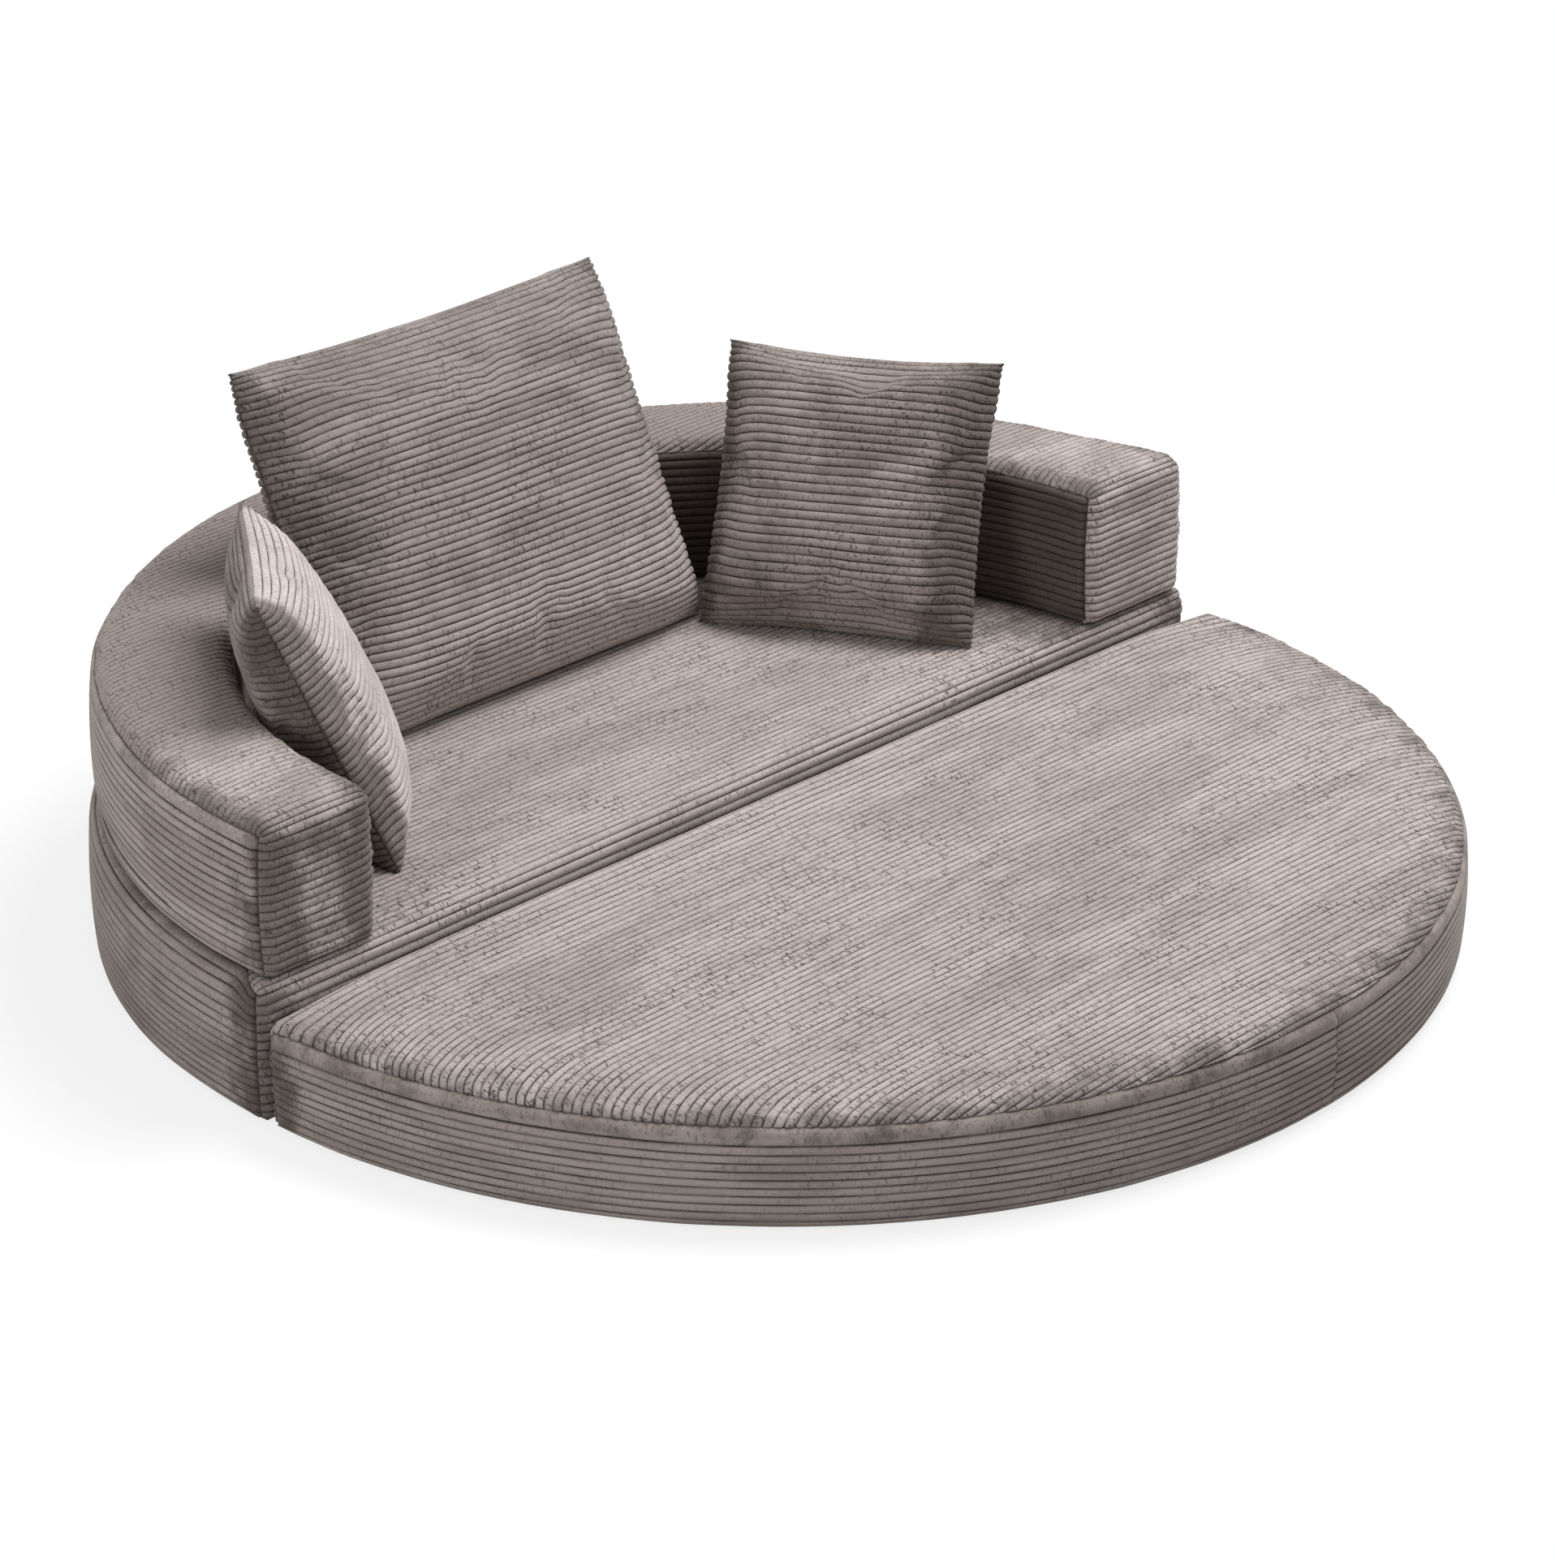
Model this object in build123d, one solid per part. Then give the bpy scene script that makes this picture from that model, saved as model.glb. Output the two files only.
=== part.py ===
from build123d import *
import math
import os

# Foam sofa bed: a half-drum base with a C-shaped backrest sewn onto it, a loose half-moon front
# section, one big back cushion and two throw pillows.
# Lengths are in millimetres and angles in degrees. X runs across the sofa, Y from front to back and
# Z up. The floor is Z = 0, and the origin is the middle of the footprint on the floor.

# Rear base
base_radius = 1050.0
base_height = 226.0
base_centre_behind_split = 12.0
base_side_bulge = 6.0
base_top_round = 18.0
base_bottom_round = 17.0
base_face_round = 30.0
base_corner_round = 24.0
seat_crown = 5.0

# Backrest on the base
backrest_step_in = 14.0
backrest_thickness = 234.0
backrest_rise = 249.0
backrest_side_bulge = 9.0
backrest_top_round = 26.0
backrest_bottom_round = 16.0
backrest_face_round = 36.0
backrest_corner_round = 20.0
backrest_crown = 4.0

# Front section
front_step_out = 36.0
front_height = 176.0
front_centre_ahead_of_split = 23.0
front_shift = 36.0
front_side_bulge = 6.0
front_top_round = 22.0
front_bottom_round = 17.0
front_face_round = 24.0
front_corner_round = 30.0
front_crown = 5.0
front_crown_margin = 40.0
split_gap = 8.0

# Cover and wadding, the same on all three foam blocks
cover_thickness = 3.0
wadding_thickness = 9.0
seam_drop_share = 0.75
corner_seam_share = 0.5

# Big back cushion
back_width = 792.0
back_height = 612.0
back_thickness = 250.0
back_lean = 23.5
back_yaw = 0.0
back_offset = 14.0
back_draw_in = 13.0

# Right pillow
right_width = 464.0
right_height = 475.0
right_thickness = 186.0
right_lean = 26.5
right_yaw = -61.0
right_draw_in = 13.0

# Left pillow
left_width = 430.0
left_height = 472.0
left_thickness = 132.0
left_lean = 24.0
left_yaw = 52.0
left_draw_in = 12.0

# Cushion covers, and how the cushions rest
cushion_cover_thickness = 2.5
cushion_ear_round = 9.0
rest_clearance = 0.3
wall_clearance = 4.0
neighbour_clearance = 18.0

# Zips
zip_tape_thickness = 0.8
zip_tape_width = 24.0
zip_coil_width = 4.0
zip_coil_height = 1.0
zip_floor_height = 42.0
zip_running_clearance = 0.3
base_zip_end_margin = 300.0
front_zip_end_margin = 336.0
backrest_zip_angle = 150.0
backrest_zip_height = 40.0
cushion_zip_tape_width = 8.0
back_zip_length = 560.0
pillow_zip_length = 320.0

# Zip slider
slider_length = 11.0
slider_width = 7.0
slider_roof = 0.8
pull_length = 16.0
pull_width = 5.0
pull_thickness = 0.8
pull_hole_radius = 1.4

# Overrun of every cut, and how far the cuts that round the corners and the face stand outside
overrun = 20.0
corner_margin = 0.6
face_margin = 0.3

# Shape of a cushion: one entry for each contour from the seam to the crown
depth_shares = (0.0, 0.48, 0.79, 0.95, 0.993, 1.0)
inset_shares = (0.0, 0.035, 0.12, 0.3, 0.56, 0.84)
bow_shares = (0.0, 0.006, 0.02, 0.035, 0.045, 0.05)
corner_shares = (0.0, 0.2, 0.42, 0.52, 0.58, 0.64)

# Nine stations across a cushion, where its rear is held off the backrest
station_shares = (-1.0, -0.75, -0.5, -0.25, 0.0, 0.25, 0.5, 0.75, 1.0)

# Rise of a crown half way out, and how often a pillow's place is worked out again
crown_middle_share = 0.75
bearing_passes = 3

# Places that follow from the sizes
backrest_radius = base_radius - backrest_step_in
front_radius = base_radius + front_step_out
split_y = (front_radius + front_centre_ahead_of_split - base_radius - base_centre_behind_split) / 2
base_centre_x = -front_shift
base_centre_y = split_y + base_centre_behind_split
backrest_inner_radius = backrest_radius - backrest_thickness
backrest_top = base_height + backrest_rise
backrest_middle_radius = backrest_radius - backrest_thickness / 2
crown_reach = backrest_inner_radius - backrest_side_bulge
front_face_y = split_y - split_gap
base_zip_length = 2 * (base_radius - base_zip_end_margin)
front_zip_length = 2 * (front_radius - front_zip_end_margin)
foam_inset = cover_thickness + wadding_thickness
arc_middle = math.sqrt(0.5)


# Quarter-round from one point to another about a centre, in a two-axis outline
def quarter(centre, radius, start_side, end_side):
    start = (centre[0] + radius * start_side[0], centre[1] + radius * start_side[1])
    end = (centre[0] + radius * end_side[0], centre[1] + radius * end_side[1])
    across = (start_side[0] + end_side[0], start_side[1] + end_side[1])
    middle = (centre[0] + radius * arc_middle * across[0], centre[1] + radius * arc_middle * across[1])
    return ThreePointArc(start, middle, end)


# Outer wall of a section, from the bottom flat up to the top flat, bulged at mid height
def outer_wall(radius, low, high, bottom_round, top_round, bulge, inset):
    side = radius - bulge
    bottom = quarter((side - bottom_round, low + bottom_round), bottom_round - inset, (0, -1), (1, 0))
    top = quarter((side - top_round, high - top_round), top_round - inset, (1, 0), (0, 1))
    middle = (radius - inset, (low + bottom_round + high - top_round) / 2)
    return [bottom, ThreePointArc(bottom @ 1, middle, top @ 0), top]


# Inner wall of a ring's section, from the top flat down to the bottom flat
def inner_wall(radius, low, high, bottom_round, top_round, bulge, inset):
    side = radius + bulge
    top = quarter((side + top_round, high - top_round), top_round - inset, (0, 1), (-1, 0))
    bottom = quarter((side + bottom_round, low + bottom_round), bottom_round - inset, (-1, 0), (0, -1))
    middle = (radius + inset, (low + bottom_round + high - top_round) / 2)
    return [top, ThreePointArc(top @ 1, middle, bottom @ 0), bottom]


# Turns a section outline in the XZ plane about the Z axis, with its closing edge at the back
def turned(edges):
    face = make_face(Plane.XZ * (Curve() + edges))
    return Rot(0, 0, 90) * revolve(face, Axis.Z, 360)


# Solid of a whole drum with a crowned top, drawn in by inset
def drum(radius, height, bottom_round, top_round, bulge, crown, reach, inset):
    wall = outer_wall(radius, 0, height, bottom_round, top_round, bulge, inset)
    top = height - inset
    edge = (reach, top)
    apex = (0, top + crown)
    crown_arc = ThreePointArc(edge, (reach / 2, top + crown * crown_middle_share), apex)
    foot = (0, inset)
    outline = [Line(foot, wall[0] @ 0)] + wall
    outline += [Line(wall[2] @ 1, edge), crown_arc, Line(apex, foot)]
    return turned(outline)


# Solid of the whole backrest ring, drawn in by inset
def ring(inset):
    sizes = (base_height, backrest_top, backrest_bottom_round, backrest_top_round, backrest_side_bulge)
    outside = outer_wall(backrest_radius, *sizes, inset)
    inside = inner_wall(backrest_inner_radius, *sizes, inset)
    apex = (backrest_middle_radius, backrest_top + backrest_crown - inset)
    crown_arc = ThreePointArc(outside[2] @ 1, apex, inside[0] @ 0)
    return turned(outside + [crown_arc] + inside + [Line(inside[2] @ 1, outside[0] @ 0)])


# Everything behind the straight face at Y = 0, with the face's top and bottom edges rounded
def behind_face(reach, lowest, highest, bottom_round, top_round, inset):
    low = lowest - face_margin
    high = highest + face_margin
    bottom = quarter((bottom_round, low + bottom_round), bottom_round - inset, (0, -1), (-1, 0))
    top = quarter((top_round, high - top_round), top_round - inset, (-1, 0), (0, 1))
    ceiling = high + overrun
    floor = low - overrun
    corners = [top @ 1, (top_round, ceiling), (2 * reach, ceiling), (2 * reach, floor)]
    corners += [(bottom_round, floor), bottom @ 0]
    edges = [bottom, Line(bottom @ 1, top @ 0), top] + [Line(a, b) for a, b in zip(corners, corners[1:])]
    face = make_face(Plane.YZ * (Curve() + edges))
    return extrude(face, amount=reach + overrun, both=True)


# Points of the round between the straight face at Y = 0 and a circle about (0, setback)
def corner_points(radius, setback, corner_round, outward):
    centre_y = corner_round
    centre_radius = radius - outward * corner_round
    centre_x = math.sqrt(centre_radius**2 - (centre_y - setback) ** 2)
    on_circle = Vector(centre_x, centre_y - setback).normalized() * radius + Vector(0, setback)
    on_face = Vector(centre_x, 0)
    centre = Vector(centre_x, centre_y)
    halfway = ((on_circle - centre).normalized() + Vector(0, -1)).normalized() * corner_round + centre
    return on_face, halfway, on_circle


def mirrored(point):
    return Vector(-point.X, point.Y)


# Upright prism that rounds the vertical corners of a drum cut by the face at Y = 0
def corner_prism(radius, setback, corner_round, low, high, inset):
    margin = corner_margin - inset
    face_shift = Vector(0, -margin)
    on_face, halfway, on_circle = corner_points(
        radius + margin, setback + margin, corner_round + margin, 1
    )
    right = [on_face + face_shift, halfway + face_shift, on_circle + face_shift]
    left = [mirrored(point) for point in right]
    back = Vector(0, setback + radius + margin)
    edges = [Line(left[0], right[0]), ThreePointArc(*right), ThreePointArc(right[2], back, left[2])]
    edges += [ThreePointArc(*reversed(left))]
    face = make_face(Curve() + edges)
    return Pos(0, 0, low - overrun) * extrude(face, amount=high - low + 2 * overrun)


# Upright prism that rounds the four vertical corners of the arm ends
def arm_prism(inset):
    margin = corner_margin - inset
    setback = base_centre_behind_split + margin
    corner = backrest_corner_round + margin
    face_shift = Vector(0, -margin)
    outer = [p + face_shift for p in corner_points(backrest_radius + margin, setback, corner, 1)]
    inner = [p + face_shift for p in corner_points(backrest_inner_radius - margin, setback, corner, -1)]
    edges = []
    for turn in (lambda point: point, mirrored):
        outside = [turn(point) for point in outer]
        inside = [turn(point) for point in inner]
        edges += [ThreePointArc(*outside), ThreePointArc(*inside), Line(outside[0], inside[0])]
    behind = base_centre_behind_split
    outer_back = Vector(0, behind + backrest_radius + margin)
    inner_back = Vector(0, behind + backrest_inner_radius - margin)
    edges += [ThreePointArc(outer[2], outer_back, mirrored(outer[2]))]
    edges += [ThreePointArc(inner[2], inner_back, mirrored(inner[2]))]
    face = make_face(Curve() + edges)
    return Pos(0, 0, base_height - overrun) * extrude(face, amount=backrest_rise + 2 * overrun)


# Half-drum block with its straight face at Y = 0 and its centre line on X = 0, drawn in by inset
def block(radius, height, setback, bottom_round, top_round, bulge, crown, reach, face_round, corner, inset):
    whole = Pos(0, setback, 0) * drum(radius, height, bottom_round, top_round, bulge, crown, reach, inset)
    behind = behind_face(radius, 0, height + crown, bottom_round, face_round, inset)
    return whole & corner_prism(radius, setback, corner, 0, height, inset) & behind


def base_block(inset):
    rounds = (base_bottom_round, base_top_round, base_side_bulge)
    crown = (seat_crown, crown_reach, base_face_round, base_corner_round)
    return block(base_radius, base_height, base_centre_behind_split, *rounds, *crown, inset)


def front_block(inset):
    rounds = (front_bottom_round, front_top_round, front_side_bulge)
    reach = front_radius - front_side_bulge - front_top_round - front_crown_margin
    crown = (front_crown, reach, front_face_round, front_corner_round)
    setback = front_centre_ahead_of_split - split_gap
    return block(front_radius, front_height, setback, *rounds, *crown, inset)


def backrest_block(inset):
    whole = Pos(0, base_centre_behind_split, 0) * ring(inset)
    crest = backrest_top + backrest_crown
    rounds = (backrest_bottom_round, backrest_face_round)
    behind = behind_face(backrest_radius, base_height, crest, *rounds, inset)
    return whole & arm_prism(inset) & behind


# Box between two corners
def span(low, high):
    size = [b - a for a, b in zip(low, high)]
    middle = [(a + b) / 2 for a, b in zip(low, high)]
    return Pos(*middle) * Box(*size)


# Regions of a block's cover: the side bands between two heights behind the corner seams, the
# underside, and the top panel that runs down the straight face
def cover_regions(reach, low, seam, high, corner_round):
    corner_seam = corner_round * corner_seam_share
    side = 2 * reach
    bottom = low + cover_thickness
    bands = span((-side, corner_seam, bottom), (side, side, seam))
    floor = span((-side, -overrun, low - overrun), (side, side, bottom))
    above = span((-side, -overrun, bottom), (side, side, high + overrun))
    return bands, floor, above - bands


# Tape and coil of a straight zip along X, lying on Z = 0 with the coil on top
def zip_strip(length, tape_width):
    low = (Align.CENTER, Align.CENTER, Align.MIN)
    tape = Box(length, tape_width, zip_tape_thickness, align=low)
    coil = Pos(0, 0, zip_tape_thickness) * Box(length, zip_coil_width, zip_coil_height, align=low)
    return tape + coil


# Sizes of the slider across the coil, outward from the tape
channel_height = zip_coil_height
slider_height = channel_height + slider_roof
slider_low = zip_tape_thickness + zip_running_clearance
zip_stack_height = slider_low + slider_height + pull_thickness


# Zip slider riding over the coil, with its pull lying along the tape
def zip_slider():
    low = (Align.CENTER, Align.CENTER, Align.MIN)
    body = Box(slider_length, slider_width, slider_height, align=low)
    channel_width = zip_coil_width + 2 * zip_running_clearance
    body -= Box(slider_length + overrun, channel_width, channel_height, align=low)
    pull_low = (Align.MIN, Align.CENTER, Align.MIN)
    pull = Pos(0, 0, slider_height) * Box(pull_length, pull_width, pull_thickness, align=pull_low)
    hole_x = pull_length - pull_width / 2
    pull -= Pos(hole_x, 0, slider_height) * Cylinder(pull_hole_radius, 2 * pull_thickness)
    return Pos(0, 0, slider_low) * (body + pull)


# Frame of a straight zip on the face at Y = 0: X along the zip, Z out of the face
def face_zip_frame(start_x):
    origin = (start_x, cover_thickness, zip_floor_height)
    return Plane(origin=origin, x_dir=(1, 0, 0), z_dir=(0, -1, 0))


# Cover, wadding and foam of one block, with a zip in its straight face
def face_zipped_block(shape, reach, height, top_round, corner_round, zip_length):
    outside = shape(0)
    lining = shape(cover_thickness)
    core = shape(foam_inset)
    cover = outside - lining
    seam = height - top_round * seam_drop_share
    bands, floor, top = cover_regions(reach, 0, seam, height, corner_round)
    low = -zip_length / 2
    slot_z = (zip_floor_height - zip_tape_width / 2, zip_floor_height + zip_tape_width / 2)
    slot = span((low, -overrun, slot_z[0]), (-low, cover_thickness, slot_z[1]))
    return {
        "foam_core": core,
        "wadding": lining - core,
        "top_panel": (cover & top) - slot,
        "side_band": cover & bands,
        "bottom_cloth": cover & floor,
        "zip_tape": face_zip_frame(0).location * zip_strip(zip_length, zip_tape_width),
        "zip_slider": face_zip_frame(low + slider_length).location * zip_slider(),
    }


def base_pieces():
    place = Pos(base_centre_x, split_y, 0)
    sizes = (base_radius, base_height, base_top_round, base_corner_round, base_zip_length)
    pieces = face_zipped_block(base_block, *sizes)
    names = {name: f"base_{name}" for name in pieces}
    names["top_panel"] = "seat_top_panel"
    return {names[name]: place * piece for name, piece in pieces.items()}


def front_pieces():
    place = Pos(0, front_face_y, 0) * Rot(0, 0, 180)
    sizes = (front_radius, front_height, front_top_round, front_corner_round, front_zip_length)
    pieces = face_zipped_block(front_block, *sizes)
    return {f"front_{name}": place * piece for name, piece in pieces.items()}


# Part of a ring round the base's centre, centred on the back
def arc_block(inner, outer, low, high, angle):
    corners = [(inner, low), (outer, low), (outer, high), (inner, high)]
    face = make_face(Plane.XZ * Polyline(*corners, close=True))
    turned_face = Rot(0, 0, 90 - angle / 2) * face
    return Pos(0, base_centre_behind_split, 0) * revolve(turned_face, Axis.Z, angle)


# Radius at which the backrest's zip lies, on a flat-bottomed groove low in its outer band
def backrest_groove_radius():
    low = base_height + backrest_bottom_round
    high = backrest_top - backrest_top_round
    half = (high - low) / 2
    zip_low = base_height + backrest_zip_height - zip_tape_width / 2
    share = ((low + high) / 2 - zip_low) / half
    return backrest_radius - backrest_side_bulge * share**2 - cover_thickness


def backrest_pieces():
    outside = backrest_block(0)
    lining = backrest_block(cover_thickness)
    core = backrest_block(foam_inset)
    groove_radius = backrest_groove_radius()
    zip_z = base_height + backrest_zip_height
    groove_z = (zip_z - zip_tape_width / 2, zip_z + zip_tape_width / 2)
    groove = arc_block(groove_radius, backrest_radius + overrun, *groove_z, backrest_zip_angle)
    cover = outside - lining - groove
    seam = backrest_top - backrest_top_round * seam_drop_share
    sizes = (backrest_radius, base_height, seam, backrest_top, backrest_corner_round)
    bands, floor, top = cover_regions(*sizes)
    post_height = 2 * backrest_top
    post = Pos(0, base_centre_behind_split, 0) * Cylinder(backrest_middle_radius, post_height)
    tape_outer = groove_radius + zip_tape_thickness
    tape = arc_block(groove_radius, tape_outer, *groove_z, backrest_zip_angle)
    coil_z = (zip_z - zip_coil_width / 2, zip_z + zip_coil_width / 2)
    tape += arc_block(tape_outer, tape_outer + zip_coil_height, *coil_z, backrest_zip_angle)
    start = math.radians(90 - backrest_zip_angle / 2) + slider_length / groove_radius
    outward = Vector(math.cos(start), math.sin(start), 0)
    along = Vector(-math.sin(start), math.cos(start), 0)
    origin = outward * groove_radius + Vector(0, base_centre_behind_split, zip_z)
    slider_frame = Plane(origin=origin, x_dir=along, z_dir=outward)
    band_cover = cover & bands
    place = Pos(base_centre_x, split_y, 0)
    pieces = {
        "backrest_foam_core": core,
        "backrest_wadding": lining - core - groove,
        "backrest_top_panel": cover & top,
        "backrest_outer_band": band_cover - post,
        "backrest_inner_band": band_cover & post,
        "backrest_underside_cloth": cover & floor,
        "backrest_zip_tape": tape,
        "backrest_zip_slider": slider_frame.location * zip_slider(),
    }
    return {name: place * piece for name, piece in pieces.items()}


# One contour of a cushion, in the XY plane: the bottom side is straight at the seam and the other
# three are drawn in there, and contours nearer the crown bow outward and have rounder corners
def contour(width, height, draw_in, corner, bow_share):
    half = width / 2
    reach_x = half - corner
    reach_y = height / 2 - corner
    side_x = half - draw_in + bow_share * height
    top_y = height / 2 - draw_in + bow_share * width
    bottom_y = -height / 2 - bow_share * width
    nook = corner * (1 - arc_middle)
    nook_y = height / 2 - nook
    edges = []
    for sign in (1, -1):
        up = (sign * half, reach_y)
        down = (sign * half, -reach_y)
        above = (sign * reach_x, height / 2)
        below = (sign * reach_x, -height / 2)
        nook_x = sign * (half - nook)
        edges.append(ThreePointArc(down, (sign * side_x, 0), up))
        edges.append(ThreePointArc(up, (nook_x, nook_y), above))
        edges.append(ThreePointArc(down, (nook_x, -nook_y), below))
    edges.append(ThreePointArc((reach_x, height / 2), (0, top_y), (-reach_x, height / 2)))
    low = [(-reach_x, -height / 2), (reach_x, -height / 2)]
    if bow_share:
        edges.append(ThreePointArc(low[0], (0, bottom_y), low[1]))
    else:
        edges.append(Line(*low))
    return make_face(Curve() + edges)


# Front or rear half of a cushion, lofted from its seam to its crown, drawn in by inset
def cushion_half(width, height, thickness, draw_in, inset, side):
    sections = []
    for depth, share, bow, corner in zip(depth_shares, inset_shares, bow_shares, corner_shares):
        ring_width = (width - 2 * inset) * (1 - share)
        ring_height = (height - 2 * inset) * (1 - share)
        ring_corner = cushion_ear_round + corner * (min(ring_width, ring_height) / 2 - cushion_ear_round)
        ring_draw = draw_in if share == 0 else 0
        outline = contour(ring_width, ring_height, ring_draw, ring_corner, bow)
        sections.append(Pos(0, height / 2, side * depth * (thickness / 2 - inset)) * outline)
    return loft(sections)


# Fill, two cover panels and a zip of one cushion. X runs along its width, Y up from its bottom
# seam, and Z out of its front.
def cushion_pieces(width, height, thickness, draw_in, zip_length):
    halves = {side: cushion_half(width, height, thickness, draw_in, 0, side) for side in (1, -1)}
    inset = cushion_cover_thickness
    inner = {side: cushion_half(width, height, thickness, draw_in, inset, side) for side in (1, -1)}
    notch_width = cushion_zip_tape_width
    notch_corner = (zip_length / 2, zip_stack_height, notch_width / 2)
    notch = span((-zip_length / 2, -overrun, -notch_width / 2), notch_corner)
    low = -zip_length / 2 + slider_length
    frame = Plane(origin=(0, zip_stack_height, 0), x_dir=(1, 0, 0), z_dir=(0, -1, 0))
    slider_frame = Plane(origin=(low, zip_stack_height, 0), x_dir=(1, 0, 0), z_dir=(0, -1, 0))
    return {
        "fill": (inner[1] + inner[-1]) - notch,
        "front_panel": halves[1] - inner[1] - notch,
        "rear_panel": halves[-1] - inner[-1] - notch,
        "zip_tape": frame.location * zip_strip(zip_length, notch_width),
        "zip_slider": slider_frame.location * zip_slider(),
    }


# Directions of a cushion that leans back: along its width, up its height and out of its front
def cushion_axes(lean, yaw):
    along = Vector(math.cos(math.radians(yaw)), math.sin(math.radians(yaw)), 0)
    facing = Vector(math.sin(math.radians(yaw)), -math.cos(math.radians(yaw)), 0)
    up = Vector(0, 0, math.cos(math.radians(lean))) - facing * math.sin(math.radians(lean))
    return along, up, along.cross(up)


# Points on the rear of a cushion, in its own axes, at the middle and ends of each contour
def rear_points(width, height, thickness):
    points = []
    for depth, share in zip(depth_shares, inset_shares):
        half = width / 2 * (1 - share)
        rise = height / 2 * (1 - share)
        behind = -depth * thickness / 2
        for across in station_shares:
            for level in station_shares:
                if abs(across) == 1 or abs(level) == 1:
                    points.append((across * half, height / 2 + level * rise, behind))
    return points


# Height of the crowned seat at a distance from the base's centre
def seat_height(distance):
    return base_height + seat_crown * (1 - min(distance / crown_reach, 1) ** 2)


# Farthest a cushion's foot can stand from the base's centre before its rear meets the backrest
def foot_radius(width, height, thickness, lean, yaw, bearing):
    along, up, front = cushion_axes(lean, yaw)
    outward = Vector(math.cos(math.radians(bearing)), math.sin(math.radians(bearing)), 0)
    limit = backrest_inner_radius - wall_clearance
    reaches = []
    for across, level, behind in rear_points(width, height, thickness):
        point = along * across + up * level + front * behind
        flat = Vector(point.X, point.Y, 0)
        if point.Z < backrest_rise:
            ahead = outward.dot(flat)
            reaches.append(math.sqrt(limit**2 - flat.dot(flat) + ahead**2) - ahead)
    return min(reaches)


# Puts a cushion on the seat, with its foot at a bearing and distance from the base's centre
def placed_cushion(name, pieces, lean, yaw, foot_x, foot_y):
    along, up, front = cushion_axes(lean, yaw)
    tilt = Plane(origin=(0, 0, 0), x_dir=along, z_dir=front).location
    lowest = min((tilt * pieces[half]).bounding_box().min.Z for half in ("front_panel", "rear_panel"))
    foot_z = seat_height(math.hypot(foot_x, foot_y)) + rest_clearance - lowest
    place = Pos(base_centre_x + foot_x, base_centre_y + foot_y, foot_z) * tilt
    print(name, "foot", [round(v, 1) for v in place.position], "along", [round(v, 4) for v in along])
    return {f"{name}_{piece}": place * shape for piece, shape in pieces.items()}


# Bearing of the foot of a pillow beside the big cushion's bottom corner
def pillow_bearing(corner_bearing, width, distance, side):
    swing = math.degrees(math.atan2(width / 2 + neighbour_clearance, distance))
    return corner_bearing + side * swing


def all_cushions():
    back_foot = foot_radius(back_width, back_height, back_thickness, back_lean, back_yaw, 90)
    pieces = cushion_pieces(back_width, back_height, back_thickness, back_draw_in, back_zip_length)
    cushions = placed_cushion("back_cushion", pieces, back_lean, back_yaw, -back_offset, back_foot)
    left = (left_width, left_height, left_thickness, left_draw_in, left_lean, left_yaw)
    right = (right_width, right_height, right_thickness, right_draw_in, right_lean, right_yaw)
    for name, sizes, side in (("left_pillow", left, 1), ("right_pillow", right, -1)):
        width, height, thickness, draw_in, lean, yaw = sizes
        corner_x = -back_offset - side * back_width / 2
        corner_bearing = math.degrees(math.atan2(back_foot, corner_x))
        bearing = 90 + yaw
        for _ in range(bearing_passes):
            distance = foot_radius(width, height, thickness, lean, yaw, bearing)
            bearing = pillow_bearing(corner_bearing, width, distance, side)
        foot_x = distance * math.cos(math.radians(bearing))
        foot_y = distance * math.sin(math.radians(bearing))
        pieces = cushion_pieces(width, height, thickness, draw_in, pillow_zip_length)
        cushions.update(placed_cushion(name, pieces, lean, yaw, foot_x, foot_y))
    return cushions


def main():
    os.makedirs("parts", exist_ok=True)
    pieces = base_pieces() | backrest_pieces() | front_pieces() | all_cushions()
    for name, piece in pieces.items():
        export_step(piece, f"parts/{name}.step")
        print(name, round(piece.volume))


main()
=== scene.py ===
import bpy
import bmesh
import math
import numpy as np
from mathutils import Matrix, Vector
from types import SimpleNamespace


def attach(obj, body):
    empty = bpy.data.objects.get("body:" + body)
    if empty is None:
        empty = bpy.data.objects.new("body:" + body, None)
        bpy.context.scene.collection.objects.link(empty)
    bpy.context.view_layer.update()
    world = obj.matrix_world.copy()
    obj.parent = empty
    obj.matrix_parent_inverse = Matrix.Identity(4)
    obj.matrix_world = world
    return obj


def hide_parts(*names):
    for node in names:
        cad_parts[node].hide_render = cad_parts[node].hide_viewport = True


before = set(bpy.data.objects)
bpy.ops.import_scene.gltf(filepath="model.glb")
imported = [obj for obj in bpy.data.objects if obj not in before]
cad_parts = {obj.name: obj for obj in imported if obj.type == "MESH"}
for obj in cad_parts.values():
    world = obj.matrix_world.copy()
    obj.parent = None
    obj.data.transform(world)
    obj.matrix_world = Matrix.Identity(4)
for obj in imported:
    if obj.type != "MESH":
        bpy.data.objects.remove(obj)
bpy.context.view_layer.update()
scene = bpy.context.scene
print("frame loaded:", len(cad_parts), "nodes")

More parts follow.
